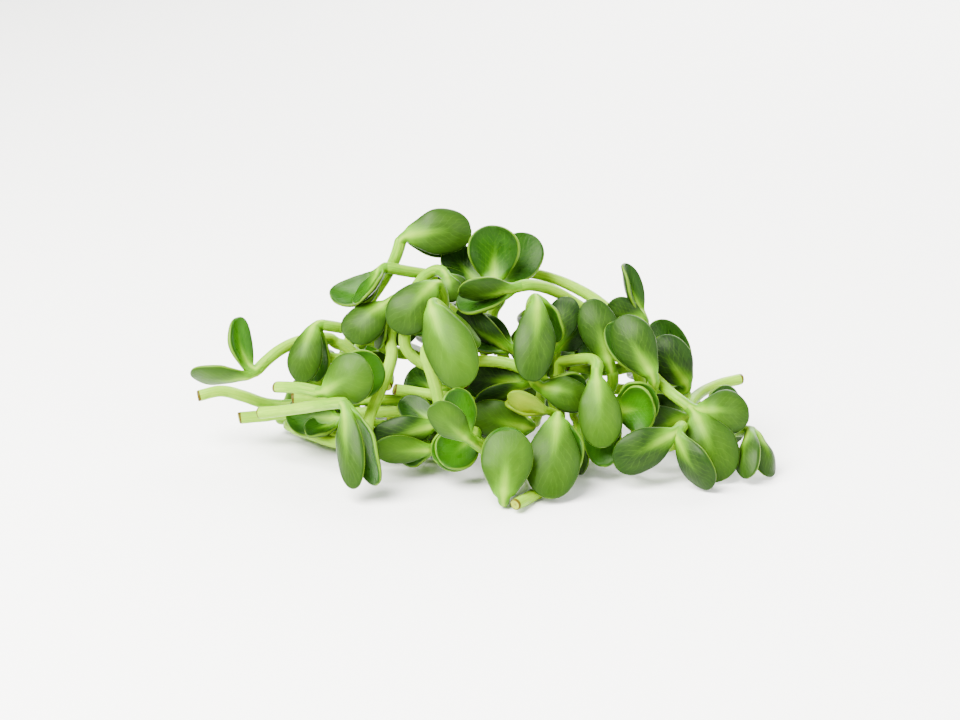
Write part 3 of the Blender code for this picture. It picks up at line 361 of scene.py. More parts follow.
def unplace(points):
    """Points of the world as points of the drawing grid."""
    deep = points @ AWAY
    widen = 1 + deep / EYE_DISTANCE
    across = points @ RIGHT / (STEP * widen) + GRID_CENTRE[0]
    down = GRID_CENTRE[1] - (points @ UP - (FOOT_ROW - GRID_CENTRE[1]) * STEP) / (STEP * widen)
    return np.stack([across, down, deep / STEP], -1)


def table_depth(grid, above):
    """How deep each point of the grid may lie and still be this far above the table."""
    rise = (GRID_CENTRE[1] - grid[..., 1]) * STEP
    height = (rise + (FOOT_ROW - GRID_CENTRE[1]) * STEP) * UP[2]
    slope = -AWAY[2] * STEP - rise * STEP / EYE_DISTANCE * UP[2]
    return (height - above) / slope


def run_along(line):
    """How far along a line each of its points lies."""
    return np.append(0, np.cumsum(np.linalg.norm(np.diff(line, axis=0), axis=1)))


def points_at(line, run, at):
    """The points at some distances along a line whose own points lie at the distances in run."""
    return np.stack([np.interp(at, run, line[:, k]) for k in range(3)], -1)


def smooth_line(points, count):
    """A smooth curve through the points, as samples evenly spaced along it."""
    points = np.asarray(points, float)
    if len(points) == 2:
        points = np.array([points[0], (points[0] + points[1]) / 2, points[1]])
    ends = np.vstack([2 * points[0] - points[1], points, 2 * points[-1] - points[-2]])
    t = np.linspace(0, 1, 12, endpoint=False)[:, None]
    fine = [
        0.5 * (2 * b + (c - a) * t + (2 * a - 5 * b + 4 * c - d) * t**2 + (3 * b - 3 * c + d - a) * t**3)
        for a, b, c, d in zip(ends, ends[1:], ends[2:], ends[3:])
    ]
    fine = np.vstack(fine + [points[-1:]])
    run = run_along(fine)
    return points_at(fine, run, np.linspace(0, run[-1], count))


def length_of(line):
    return np.linalg.norm(np.diff(line, axis=0), axis=1).sum()


def half_width(s):
    """A blade's outline: a neck about as wide as the stem, then an oval widest past its middle."""
    spoon = NECK_WIDTH + (1 - NECK_WIDTH) * np.sin(np.pi / 2 * np.clip(s / WIDEST_AT, 0, 1)) ** 1.35
    oval = np.sqrt(np.clip(1 - (np.clip(s - WIDEST_AT, 0, 1) / (1 - WIDEST_AT)) ** TIP_BLUNTNESS, 0, 1))
    return np.where(s < WIDEST_AT, spoon, oval)


def near_face(base, tip, along):
    """The direction square to a leaf that faces the eye."""
    eye = EYE - (base + tip) / 2
    return unit(eye - along * (eye @ along))


def leaf_axes(sprout, leaf):
    """A leaf's base, its length, the direction to its tip, and the one that its inner face looks in."""
    base, tip = place(sprout["head"]), place(leaf["tip"])
    length = np.linalg.norm(tip - base)
    along = (tip - base) / length
    face = near_face(base, tip, along)
    return base, length, along, cos(leaf["turn"]) * face + sin(leaf["turn"]) * np.cross(along, face)


def blade_points(sprout, leaf, s, t):
    """The middle surface of a leaf. s runs from its base to its tip, and t from -1 to 1 across it."""
    base, length, along, face = leaf_axes(sprout, leaf)
    side = np.cross(face, along)
    half = leaf["width"] / 2
    width = half_width(s)
    arch = 4 * s * (1 - s)
    points = (
        base
        + np.multiply.outer(length * s, along)
        - np.multiply.outer(leaf["bend"] * length * arch, face)
        + np.multiply.outer(leaf["sway"] * length * arch + half * width * t, side)
        + np.multiply.outer(leaf["cup"] * half * (width * t) ** 2, face)
    )
    grid = unplace(points)
    offset = (grid[..., :2] - np.array(sprout["head"][:2])) / LEAN_STEPS
    grid[..., 2] += leaf["slide"][0] + offset @ leaf["slide"][1:]
    return place(grid)


def blade_samples(sprout, leaf):
    """Points spread over a leaf, and how far each is from its base."""
    length = leaf_axes(sprout, leaf)[1]
    rows = int(length / SAMPLE) + 2
    columns = int(leaf["width"] / SAMPLE) + 2
    s, t = np.meshgrid(np.linspace(0.05, 1, rows), np.linspace(-1, 1, columns), indexing="ij")
    return blade_points(sprout, leaf, s.ravel(), t.ravel()), s.ravel() * length


def leaf_points(sprout):
    return [blade_samples(sprout, leaf)[0] for leaf in sprout["leaves"]]


def elements_of(sprouts):
    """Each stem, then its two leaves: owner, is it a stem, samples as grid points, way from head, room."""
    found = []
    for number, sprout in enumerate(sprouts):
        drawn = place([sprout["head"], *sprout["stem"]])
        count = max(4, int(length_of(smooth_line(drawn, 40)) / SAMPLE) + 1)
        line = smooth_line(drawn, count)
        run = np.linspace(0, length_of(line), count)
        line = np.round(unplace(line), GRID_DIGITS)
        found.append((number, True, line, run, STEM_ROOM * sprout["thick"]))
        for leaf in sprout["leaves"]:
            points, run = blade_samples(sprout, leaf)
            found.append((number, False, np.round(unplace(points), GRID_DIGITS), run, BLADE_ROOM))
    return found


def contacts_of(grid, room, part, owner, run, starts, is_stem):
    """Pairs of samples seen so close that one has to lie in front, how far in front, and which."""
    flat = grid[:, :2] * STEP
    pairs = []
    for start in range(0, len(grid), 500):
        rows = slice(start, start + 500)
        apart = ((flat[rows, None] - flat[None]) ** 2).sum(-1)
        gap = room[rows, None] + room[None] + GAP
        a, b = np.nonzero((apart < gap**2) & (part[rows, None] < part[None]))
        pairs.append(np.stack([a + start, b]))
    a, b = np.hstack(pairs)
    same = owner[a] == owner[b]
    near = np.minimum(run[a], run[b])
    a, b, same, near = (each[~(same & (near < JOINED))] for each in (a, b, same, near))
    apart = ((flat[a] - flat[b]) ** 2).sum(-1)
    need = np.sqrt(np.maximum((room[a] + room[b] + GAP) ** 2 - apart, 0)) / STEP
    need *= np.where(same, np.clip((near - JOINED) / JOINED_FADE, 0, 1), 1)
    # A stem may pass before a leaf in one place and behind it in another, so each crossing is its own.
    stem = is_stem[part]
    spot = np.where(stem[a], a - starts[part[a]], np.where(stem[b], b - starts[part[b]], 0))
    crossing = (part[a] * len(starts) + part[b]) * 1000 + spot
    known, which = np.unique(crossing, return_inverse=True)
    which = np.append(0, np.cumsum(np.diff(known) > 3))[which]
    weight = np.maximum(np.bincount(which, need), TINY)
    ahead = np.bincount(which, (grid[b, 2] - grid[a, 2]) * need) / weight
    return a, b, need, np.where(np.round(ahead[which], DIGITS) >= 0, 1.0, -1.0)


def settle(sprouts):
    """Slide the sprouts along the lines of sight until they lie clear of each other and of the table."""
    owners, stems, grids, runs, rooms = zip(*elements_of(sprouts))
    counts = [len(each) for each in grids]
    starts = np.append(0, np.cumsum(counts))[:-1]
    spans = [slice(start, start + count) for start, count in zip(starts, counts)]
    part = np.repeat(np.arange(len(counts)), counts)
    owner, room = np.repeat(owners, counts), np.repeat(rooms, counts)
    grid, run, is_stem = np.vstack(grids), np.concatenate(runs), np.array(stems)
    a, b, need, order = contacts_of(grid, room, part, owner, run, starts, is_stem)
    lowest = table_depth(grid, np.where(is_stem[part], STEM_RADIUS, LEAF_FOOT))
    heads = np.array([sprout["head"][:2] for sprout in sprouts])
    lean = (grid[:, :2] - heads[owner]) / LEAN_STEPS
    total, slid = len(grid), np.zeros(len(grid))
    slides = np.zeros((len(counts), 3))
    for turn in range(ROUNDS):
        deep = grid[:, 2] + slid
        short = need - order * (deep[b] - deep[a])
        hit = short > 0
        shove, touch = order[hit] * short[hit] ** 2 / 2, short[hit]
        weight = np.bincount(a[hit], touch, total) + np.bincount(b[hit], touch, total)
        push = np.bincount(b[hit], shove, total) - np.bincount(a[hit], shove, total)
        push = np.where(weight > TINY, push / np.maximum(weight, TINY), 0)
        sunk = deep - lowest
        push = np.where(sunk > 0, np.minimum(push, 0) - sunk, push)
        held = np.where((weight > TINY) | (sunk > 0), 1.0, LOOSE)
        target = slid + push
        for index, mine in enumerate(spans):
            if is_stem[index]:
                line = target[mine].copy()
                for _ in range(2 if turn < SMOOTH_ROUNDS else 1):
                    line[1:-1] = 0.5 * line[1:-1] + 0.25 * (line[2:] + line[:-2])
                    line[0] = (line[0] + line[1]) / 2
                    line[-1] = (line[-1] + line[-2]) / 2
                slid[mine] = line
                slides[index, 0] = line[0]
            else:
                basis = np.column_stack([np.ones(counts[index]), lean[mine]])
                pull = basis * held[mine, None]
                stiff = np.diag(STIFFNESS) * held[mine].sum()
                slides[index] = np.linalg.solve(pull.T @ basis + stiff, pull.T @ target[mine])
        for stem in range(0, len(spans), 3):
            head = (slides[stem, 0] + 2 * slides[stem + 1, 0] + 2 * slides[stem + 2, 0]) / 5
            slid[spans[stem]] += (head - slid[spans[stem]][0]) * np.exp(-np.arange(counts[stem]) / 3)
            for index in (stem + 1, stem + 2):
                slides[index, 0] = head
                slid[spans[index]] = head + lean[spans[index]] @ slides[index, 1:]
        slid, slides = np.round(slid, GRID_DIGITS), np.round(slides, GRID_DIGITS)
    for number, sprout in enumerate(sprouts):
        line = grid[spans[3 * number]].copy()
        line[:, 2] += slid[spans[3 * number]]
        sprout["line"] = np.round(place(line), DIGITS)
        for index, leaf in enumerate(sprout["leaves"]):
            leaf["slide"] = np.round(slides[3 * number + 1 + index], DIGITS)


class Room:
    """How far each point of the air is from the nearest sprout, and from the nearest one but that."""

    def __init__(self):
        shape = tuple(np.ceil((HIGH - LOW) / VOXEL).astype(int) + 1)
        self.near = np.full(shape, FARTHEST)
        self.next = np.full(shape, FARTHEST)
        self.owner = np.full(shape, -1)

    def add(self, points, radius, owner):
        for point in points:
            middle = np.round((point - LOW) / VOXEL).astype(int)
            low = np.maximum(middle - REACH, 0)
            high = np.minimum(middle + REACH + 1, self.near.shape)
            if (high <= low).any():
                continue
            box = tuple(slice(i, j) for i, j in zip(low, high))
            sides = zip(low, high, LOW, point)
            x, y, z = ((np.arange(i, j) * VOXEL + start - at) ** 2 for i, j, start, at in sides)
            far = np.sqrt(x[:, None, None] + y[:, None] + z) - radius
            near, after, whose = self.near[box], self.next[box], self.owner[box]
            other = np.where(far < near, near, np.minimum(after, far))
            after[...] = np.where(whose == owner, after, other)
            whose[far < near] = owner
            near[...] = np.minimum(near, far)

    def take(self, sprout, number):
        """Fill the room of a sprout, and give its points."""
        leaves = leaf_points(sprout)
        self.add(sprout["line"], STEM_ROOM * sprout["thick"], number)
        for points in leaves:
            self.add(points, BLADE_ROOM, number)
        return [sprout["line"], *leaves]

    def free(self, points, radius, owner):
        """The free distance round a ball at each point, from what isn't the owner's and from the table."""
        at = (points - LOW) / VOXEL
        low = np.clip(np.floor(at).astype(int), 0, np.array(self.near.shape) - 2)
        part = np.clip(at - low, 0, 1)
        total = 0
        for corner in np.ndindex(2, 2, 2):
            cell = tuple(np.moveaxis(low + corner, -1, 0))
            far = np.where(self.owner[cell] == owner, self.next[cell], self.near[cell])
            total = total + far * np.where(corner, part, 1 - part).prod(-1)
        return np.minimum(total, points[..., 2]) - radius


def widened(cells, times, pick):
    """Each cell as picked from itself and its four neighbours, as often as times says."""
    for _ in range(times):
        wide = cells.copy()
        wide[1:] = pick(wide[1:], cells[:-1])
        wide[:-1] = pick(wide[:-1], cells[1:])
        wide[:, 1:] = pick(wide[:, 1:], cells[:, :-1])
        wide[:, :-1] = pick(wide[:, :-1], cells[:, 1:])
        cells = wide
    return cells


class Veil:
    """What the drawn sprouts hide from the near side: the cells they cover and how deep they lie there."""

    def __init__(self, points):
        grid = np.round(unplace(points), DIGITS)
        cell = tuple((grid[:, :2] / CELL).astype(int).T)
        covered = np.zeros((GRID_SIZE[0] // CELL, GRID_SIZE[1] // CELL), bool)
        covered[cell] = True
        self.covered = ~widened(~widened(covered, 2, np.logical_or), 3, np.logical_or)
        deep = np.full(covered.shape, OPEN)
        np.minimum.at(deep, cell, grid[:, 2])
        self.deep = widened(deep, 2, np.minimum)

    def hides(self, points):
        grid = np.round(unplace(points), DIGITS)
        cell = np.clip((grid[..., :2] / CELL).astype(int), 0, np.array(self.deep.shape) - 1)
        cell = tuple(np.moveaxis(cell, -1, 0))
        return self.covered[cell] & (grid[..., 2] > self.deep[cell] + 5)


def far_face(x, z):
    """How far back the heap goes at this place along it and at this height."""
    return FAR_DEPTH * (1 - (x / FAR_HALF_LENGTH) ** 2) - FAR_LEAN * z


def own_leaves(sprout):
    """Points of the sprout's leaves that its own stem has to keep clear of."""
    found = []
    for leaf in sprout["leaves"]:
        points, run = blade_samples(sprout, leaf)
        found.append(points[run > OWN_REACH])
    return np.vstack(found)


def grown(sprout, number, start, heading, length, pull, margin, space, chance):
    """A stem that winds on through free room, out of sight where it can, and inside the far face."""
    room, veil = space
    own, radius = own_leaves(sprout), STEM_RADIUS * sprout["thick"] + STEM_SPARE
    count = max(2, int(length / STRIDE))
    margin = min(margin, far_face(start[0], start[2]) - start[1] - 0.001)
    best, best_value = None, None
    for attempt in range(GROW_TRIES):
        path, direction = [start], unit(heading)
        least, shown = 1.0, 0
        wander = chance.normal(size=3) * WANDER
        for stride in range(count):
            loose = LOOSE_WAYS[1] if stride == 0 and attempt > 2 else LOOSE_WAYS[0]
            ways = direction + (pull + wander) * 0.10 + chance.normal(size=(WAYS, 3)) * loose
            ways = np.round(ways / np.linalg.norm(ways, axis=1)[:, None], DIGITS)
            ahead = path[-1] + ways * STRIDE * LOOK_AHEAD
            free = room.free(ahead, radius, number)
            clear = np.linalg.norm(ahead[:, :, None] - own, axis=-1).min(-1)
            free = np.minimum(free, clear - BLADE_ROOM - radius)
            free = np.minimum(free, far_face(ahead[..., 0], ahead[..., 2]) - ahead[..., 1] - margin)
            if len(path) > 4:
                back = np.linalg.norm(ahead[:, :, None] - np.array(path[:-3]), axis=-1).min(-1)
                free = np.minimum(free, back - 2 * radius)
            hidden = veil.hides(ahead)
            # A way is good where there is room, where it goes straight on and where it is out of sight.
            score = np.minimum(free[0], ROOM_ENOUGH) * 1200
            score += np.clip(free[1], -ROOM_ENOUGH, ROOM_ENOUGH) * 800
            score += (ways @ direction) * 1.2 + hidden[0] * 2 + hidden[1] * 1.2
            score[free[0] < STEM_CLEARANCE] -= 100
            pick = int(np.argmax(np.round(score, DIGITS)))
            if free[0, pick] < STEM_CLEARANCE:
                break
            least = min(least, free[0, pick])
            shown += not hidden[0, pick]
            path.append(np.round(ahead[0, pick], DIGITS))
            direction = ways[pick]
        value = round(len(path) + min(least, ROOM_ENOUGH) * 500 - 1.5 * shown, DIGITS)
        if best is None or value > best_value:
            best, best_value = path, value
        if len(path) > count and least > 0.0003 and shown < 2:
            break
    return np.array(best)


def far_sprout(number, spot, space, chance):
    """A sprout for the far side, near the spot, with its leaves in free room, or None if there is none."""
    room, veil = space
    best, most = None, FAR_ROOM[0]
    for attempt in range(FAR_TRIES):
        loose = FAR_SPREAD[0] + FAR_SPREAD[1] * attempt / FAR_TRIES
        x, z = np.array(spot) + chance.normal(size=2) * loose
        z = max(z, 0.005)
        head = np.array([x, far_face(x, z) - 0.004 - abs(chance.normal()) * loose, z])
        outward = unit(np.array([x * 6, 0.9, 0.45]))
        side = unit(np.cross([0, 0, 1.0], outward))
        raised = np.cross(outward, side)
        aim = chance.uniform(0, 2 * np.pi) if z > NEAR_TABLE else chance.uniform(-0.4, np.pi + 0.4)
        lie = cos(aim) * side + sin(aim) * raised
        if z > NEAR_TABLE:
            lie = unit(lie - 0.5 * raised)
        middle = unit(lie + chance.uniform(0.15, 0.6) * outward)
        twist = chance.uniform(-FAR_TWIST, FAR_TWIST)
        over = unit(np.cross(middle, outward))
        fold = unit(cos(twist) * np.cross(middle, -over) + sin(twist) * over)
        opening = chance.uniform(*FAR_OPENING)
        ways = [unit(cos(opening) * middle + sign * sin(opening) * fold) for sign in (-1, 1)]
        feel = head + np.vstack([way * far for way in ways for far in FEELERS])
        if room.free(feel, FEELER_ROOM, NOBODY).min() < 0 or veil.hides(feel).mean() < 0.7:
            continue
        leaves = []
        for sign, way in zip((-1, 1), ways):
            tip = head + way * chance.uniform(*LEAF_LENGTHS)
            inner = unit(-sign * fold + sign * way * (fold @ way))
            face = near_face(head, tip, way)
            turn = degrees(atan2(inner @ np.cross(way, face), inner @ face))
            width, bend, cup = chance.uniform(*FAR_LEAF)
            leaves.append((*np.round(unplace(tip), DIGITS), width, turn, bend, cup))
        sprout = make_sprout(f"far_side_{number}", None, np.round(unplace(head), DIGITS), leaves, [])
        points = np.vstack(leaf_points(sprout))
        free = min(room.free(points, BLADE_ROOM, NOBODY).min(), 0.003)
        free = round(free - (~veil.hides(points)).mean() * 0.03, DIGITS)
        if free > most:
            best, most = (sprout, head, middle), free
        if free > FAR_ROOM[1]:
            break
    return best


def grow_on(sprout, number, space, chance):
    """Let a drawn stem grow on, and cut it off where it would come into sight."""
    room, veil = space
    line = sprout["line"]
    end = line[-1]
    heading = unit(end - line[-3]) + np.array([0, 0.6, -0.1])
    pull = np.array([-0.5 * np.clip(end[0] / 0.05, -1, 1), 0.8, -0.35])
    more = grown(sprout, number, end, heading, sprout["more"], pull, INSIDE_FAR_FACE, space, chance)
    hidden = np.flatnonzero(veil.hides(more))
    if len(hidden):
        more = more[: hidden[-1] + 1]
    sprout["line"] = np.vstack([line, more[1:]])
    room.add(more[1:], STEM_ROOM * sprout["thick"], number)


def far_stem(found, number, space, chance):
    """The stem of a sprout of the far side, as long as it stays out of sight."""
    sprout, head, middle = found
    heading = np.array([0, -0.3, 0]) - middle
    pull = np.array([-0.3 * np.sign(head[0]), -0.4, -0.5])
    line = grown(sprout, number, head, heading, FAR_STEM, pull, FAR_MARGIN, space, chance)
    shown = np.flatnonzero(~space[1].hides(line[FAR_NECK:]))
    return line[: shown[0] + FAR_NECK - 1] if len(shown) else line


def build_heap():
    """Every sprout, settled and grown: its leaves, and its stem as a line of points from the head."""
    sprouts = [make_sprout(*row) for row in DRAWN]
    settle(sprouts)
    chance = np.random.default_rng(SEED)
    room = Room()
    seen = [room.take(sprout, number) for number, sprout in enumerate(sprouts)]
    space = room, Veil(np.vstack([points for taken in seen for points in taken]))
    for number, sprout in enumerate(sprouts):
        if sprout["more"]:
            grow_on(sprout, number, space, chance)
    for spot in FAR_SPOTS:
        found = far_sprout(len(sprouts) - len(DRAWN) + 1, spot, space, chance)
        if found is None:
            continue
        line = far_stem(found, len(sprouts), space, chance)
        if len(line) >= SHORTEST_STEM:
            found[0]["line"] = line
            room.take(found[0], len(sprouts))
            sprouts.append(found[0])
    for sprout in sprouts:
        low = [sprout["line"][:, 2].min() - STEM_RADIUS * sprout["thick"]]
        low += [points[:, 2].min() - BLADE_THICKNESS / 2 for points in leaf_points(sprout)]
        sprout["low"] = min(low) if min(low) < SAG else 0
    return sprouts


def pressed(sprout, points):
    """Points of a sprout that nearly lies on the table, sagging until it does."""
    sunk = points.copy()
    share = np.clip(1 - (points[..., 2] - sprout["low"]) / SAG_HEIGHT, 0, 1) ** 2
    sunk[..., 2] -= sprout["low"] * share
    return sunk


def ramp(value, low, high):
    """0 below low, 1 above high, and smooth between."""
    share = np.clip((value - low) / (high - low), 0, 1)
    return share * share * (3 - 2 * share)


def faded(value, share, start, end):
    """The value, which comes in over one range of the share and fades out over another."""
    return value * ramp(share, *start) * (1 - ramp(share, *end))


def round_off(share):
    """The height of a round edge, from 0 at its rim to 1 where the edge ends."""
    return np.sqrt(1 - (1 - np.clip(share, 0, 1)) ** 2)


def frames_along(line, first):
    """Sideways, upward and along at each point of a line, turned as little as can be from the first."""
    along = np.gradient(line, axis=0)
    along /= np.linalg.norm(along, axis=1)[:, None]
    up = np.zeros_like(line)
    last = first
    for index, way in enumerate(along):
        last = unit(last - way * (last @ way))
        up[index] = last
    return np.cross(along, up), up, along


def stacked(*parts):
    return np.stack(np.broadcast_arrays(*parts), -1)


def tube_faces(rings, sides):
    """Four-sided faces between rings of points, each ring closed on itself."""
    ring, side = np.meshgrid(np.arange(rings - 1) * sides, np.arange(sides), indexing="ij")
    after = (side + 1) % sides
    return stacked(ring + side, ring + after, ring + sides + after, ring + sides + side).reshape(-1, 4)


class Shape:
    """Points and faces of one piece, with what its material reads at each point."""

    def __init__(self):
        self.points, self.faces, self.looks = [], [], []
        self.count = 0

    def add(self, points, looks):
        """points is rings by sides, and each look is a number or a vector for each of them."""
        rings, sides = points.shape[:2]
        self.points.append(points.reshape(-1, 3))
        self.faces.append(tube_faces(rings, sides) + self.count)
        given = {}
        for name, value in looks.items():
            value = np.broadcast_to(value, (rings, sides, *np.shape(value)[2:]))
            given[name] = value.reshape(rings * sides, -1)
        self.looks.append(given)
        self.count += rings * sides


def stem_shape(shape, sprout, chance):
    """The round stem from inside the head down to its cut end, which is a little hollow."""
    length = length_of(sprout["line"])
    rings = int(length / STEM_RING) + 2
    line = smooth_line(sprout["line"], rings)
    side, up, along = frames_along(line, np.array([0.1, 0.2, 1.0]))
    run = np.linspace(0, length, rings)
    waves = chance.uniform(0, 2 * pi, 4)
    swell = 1
    for (height, reach), start in zip(STEM_WAVES, waves):
        swell = swell + height * np.sin(run / reach + start)
    radius = STEM_RADIUS * sprout["thick"] * swell * round_off(run / STEM_DOME)
    angle = np.arange(STEM_SIDES) * 2 * pi / STEM_SIDES
    around = np.cos(angle)[:, None] * side[:, None] + np.sin(angle)[:, None] * up[:, None]
    around *= (1 + STEM_OVAL * np.cos(2 * angle + waves[2]))[:, None]
    points = line[:, None] + around * radius[:, None, None]
    slant = CUT_SLANT * np.cos(angle + waves[3])[:, None] * along[-1] * radius[-1]
    rim = around[-1] * radius[-1] + slant
    cut = [line[-1] + step * along[-1] + share * rim for step, share in CUT_RINGS]
    inward = [CUT_MARK + (1 - share) for _, share in CUT_RINGS]
    at = np.append(run[:-1], np.full(len(CUT_RINGS), length))[:, None]
    looks = {
        "grain": stacked(np.cos(angle) * STEM_RADIUS, np.sin(angle) * STEM_RADIUS, at),
        "place": stacked(at / length, 0 * angle, 0),
        "stem": 1.0,
        "inner": 0.0,
        "pale": ramp(at, *STEM_PALE),
        "rim": 0.0,
        "cut": np.append(np.zeros(rings - 1), inward)[:, None],
    }
    shape.add(np.concatenate([points[:-1], cut]), looks)


def blade_inner(sprout, leaf, s, t):
    """The direction that the inner side looks in at each point of the blade."""
    step = 0.01
    flat = np.clip(s, 0.02, 0.97)
    ahead = blade_points(sprout, leaf, flat + step, t) - blade_points(sprout, leaf, flat - step, t)
    sideways = blade_points(sprout, leaf, flat, t + step) - blade_points(sprout, leaf, flat, t - step)
    inner = np.cross(sideways, ahead)
    inner /= np.linalg.norm(inner, axis=-1)[..., None]
    return inner * np.sign((inner @ leaf_axes(sprout, leaf)[3]).mean())


def blade_height(sprout, half, length, s, t, face):
    """How far the skin lies from the blade's middle: round at the neck, then thin with a soft rim.

    The inner side has a groove along its middle, and the outer side a rib and a slight dome.
    """
    rim = RIM_RADIUS + (half - RIM_RADIUS) * (1 - ramp(s, *RIM_IN))
    rim = np.clip(rim, 1e-6, np.maximum(half, 1e-6))
    neck = NECK_THICKNESS / 2 * sprout["thick"]
    thick = neck + (BLADE_THICKNESS / 2 - neck) * ramp(s, *THIN_IN)
    body = thick * round_off((1 - np.abs(t)) * half / rim) * round_off((1 - s) * length / TIP_ROUND)
    beside = t * half
    rib = faded(RIB_HEIGHT * np.exp(-((beside / RIB_WIDTH) ** 2)), s, *RIB_SPAN)
    groove = faded(GROOVE * np.exp(-((beside / GROOVE_WIDTH) ** 2)), s, *GROOVE_SPAN)
    dome = faded(DOME * np.sqrt(np.clip(1 - t**2, 0, 1)), s, *DOME_SPAN) * ramp(half, *DOME_WIDTHS)
    return np.where(face > 0, body - groove * (body > GROOVE), -body - rib - dome)


def leaf_shape(shape, sprout, leaf, chance):
    """A seed leaf: a round root that comes out of the stem, a neck, and a thick blade with a soft rim."""
    share = 1 - (1 - np.linspace(0, 1, LEAF_RINGS)) ** RING_CROWDING
    angle = (np.arange(LEAF_SIDES) + 0.5) * 2 * pi / LEAF_SIDES
    across, face = np.cos(angle), np.sin(angle)
    s, t = np.meshgrid(share, across, indexing="ij")
    spine = blade_points(sprout, leaf, share, np.zeros(LEAF_RINGS))
    length = length_of(spine)
    inner = blade_inner(sprout, leaf, s, t)

    # The blade waves a little, more at its margins.
    waves = chance.uniform(0, 2 * pi, 3)
    wave = np.sin(s * 6 + waves[0]) * t + 0.8 * np.cos(s * 11 + waves[1]) * t**2
    middle = blade_points(sprout, leaf, s, t) + inner * (WAVE * wave * ramp(s, *WAVE_IN))[..., None]
    half = leaf["width"] / 2 * half_width(s)
    height = blade_height(sprout, half, length, s, t, face)
    blade = middle + inner * height[..., None]

    # The root runs down inside the stem, and the path from root to tip is softened round the head.
    down = smooth_line(sprout["line"][:8], 60)
    run = run_along(down)
    at = np.linspace(min(ROOT_LENGTH, run[-1]), ROOT_TO, ROOT_RINGS)
    path = np.vstack([points_at(down, run, at), spine])
    for _ in range(SOFTENING):
        path[1:-1] = 0.5 * path[1:-1] + 0.25 * (path[2:] + path[:-2])
    flat_ring = int(LEAF_RINGS * FLAT_FROM)
    known = ROOT_RINGS + flat_ring
    side, up, _ = frames_along(path[known::-1], unit(inner[flat_ring].mean(0)))
    side, up = side[::-1], up[::-1]
    if side[known] @ (middle[LEAF_RINGS // 2, 0] - middle[LEAF_RINGS // 2, LEAF_SIDES // 2]) < 0:
        side = -side
    own = STEM_RADIUS * sprout["thick"] * ROOT_SHARE
    swelling = own + (half[:, 0] - own) * ramp(share, 0, 0.12)
    widths = np.append(np.linspace(0.9, 1, ROOT_RINGS) * own, swelling)[: known + 1]
    heights = np.vstack([np.tile(own * np.abs(face), (ROOT_RINGS, 1)), np.abs(height)]) * np.sign(face)
    widths[0] *= ROOT_FROM
    heights[0] *= ROOT_FROM
    tube = (
        path[: known + 1, None]
        + side[:, None] * (widths[:, None] * across)[..., None]
        + up[:, None] * heights[: known + 1][..., None]
    )
    weight = ramp(share, *NECK_IN)[: flat_ring + 1, None, None]
    neck_rings = tube[ROOT_RINGS:] + (blade[: len(weight)] - tube[ROOT_RINGS:]) * weight

    along = np.append(-at / length, share)[:, None]
    beside = np.append(np.full(ROOT_RINGS, own), half[:, 0])[:, None] * across
    margin = ramp(np.abs(across), *MARGIN_SIDES) * ramp(along, *MARGIN_IN)
    flare = RIB_FLARE * (1 - ramp(along, *FLARE_OUT)) + RIB_LINE
    midrib = np.exp(-((beside / flare) ** 2)) * (1 - ramp(along, *MIDRIB_OUT))
    looks = {
        "grain": stacked(beside, face * 0.002 + waves[2], along * length),
        "place": stacked(along, across, 0),
        "stem": 0.0,
        "inner": np.clip(face * 4 + 0.5, 0, 1),
        "pale": np.clip(1 - ramp(along, *PALE_OUT) + MIDRIB_PALE * midrib, 0, 1),
        "rim": np.maximum(margin, ramp(along, *MARGIN_TIP)),
        "cut": 0.0,
    }
    shape.add(np.concatenate([tube[:ROOT_RINGS], neck_rings, blade[len(weight) :]]), looks)


def fine_sprout(sprout, number):
    """The fine piece that stands for a sprout's solid."""
    chance = np.random.default_rng(FINE_SEED + number)
    shape = Shape()
    stem_shape(shape, sprout, chance)
    for leaf in sprout["leaves"]:
        leaf_shape(shape, sprout, leaf, chance)
    points = pressed(sprout, np.vstack(shape.points)) - HEAP_MIDDLE
    points[:, 2] = np.maximum(points[:, 2], 0)
    mesh = bpy.data.meshes.new(sprout["name"])
    mesh.from_pydata(points.tolist(), [], np.vstack(shape.faces).tolist())
    looks = {name: np.vstack([part[name] for part in shape.looks]) for name in shape.looks[0]}
    # The sprout's tone from the table, whose low values are painted shade, or a random tone for a far
    # sprout.
    tone_and_shade = chance.uniform(*FAR_TONES) if sprout["tone_and_shade"] is None else sprout["tone_and_shade"]
    looks["tone_and_shade"] = np.full((len(points), 1), tone_and_shade)
    for name, values in looks.items():
        kind, field = ("FLOAT", "value") if values.shape[1] == 1 else ("FLOAT_VECTOR", "vector")
        data = mesh.attributes.new(name, kind, "POINT").data
        data.foreach_set(field, values.astype(np.float32).ravel())
    mesh.shade_smooth()
    return in_scene(sprout["name"] + "_fine", mesh)


def in_scene(name, data):
    made = bpy.data.objects.new(name, data)
    bpy.context.scene.collection.objects.link(made)
    return made


def linear(*shown):
    """A colour given from 0 to 255 as a screen shows it, as the shader wants it."""
    shares = [value / 255 for value in shown]
    return (*[v / 12.92 if v <= 0.04045 else ((v + 0.055) / 1.055) ** 2.4 for v in shares], 1)


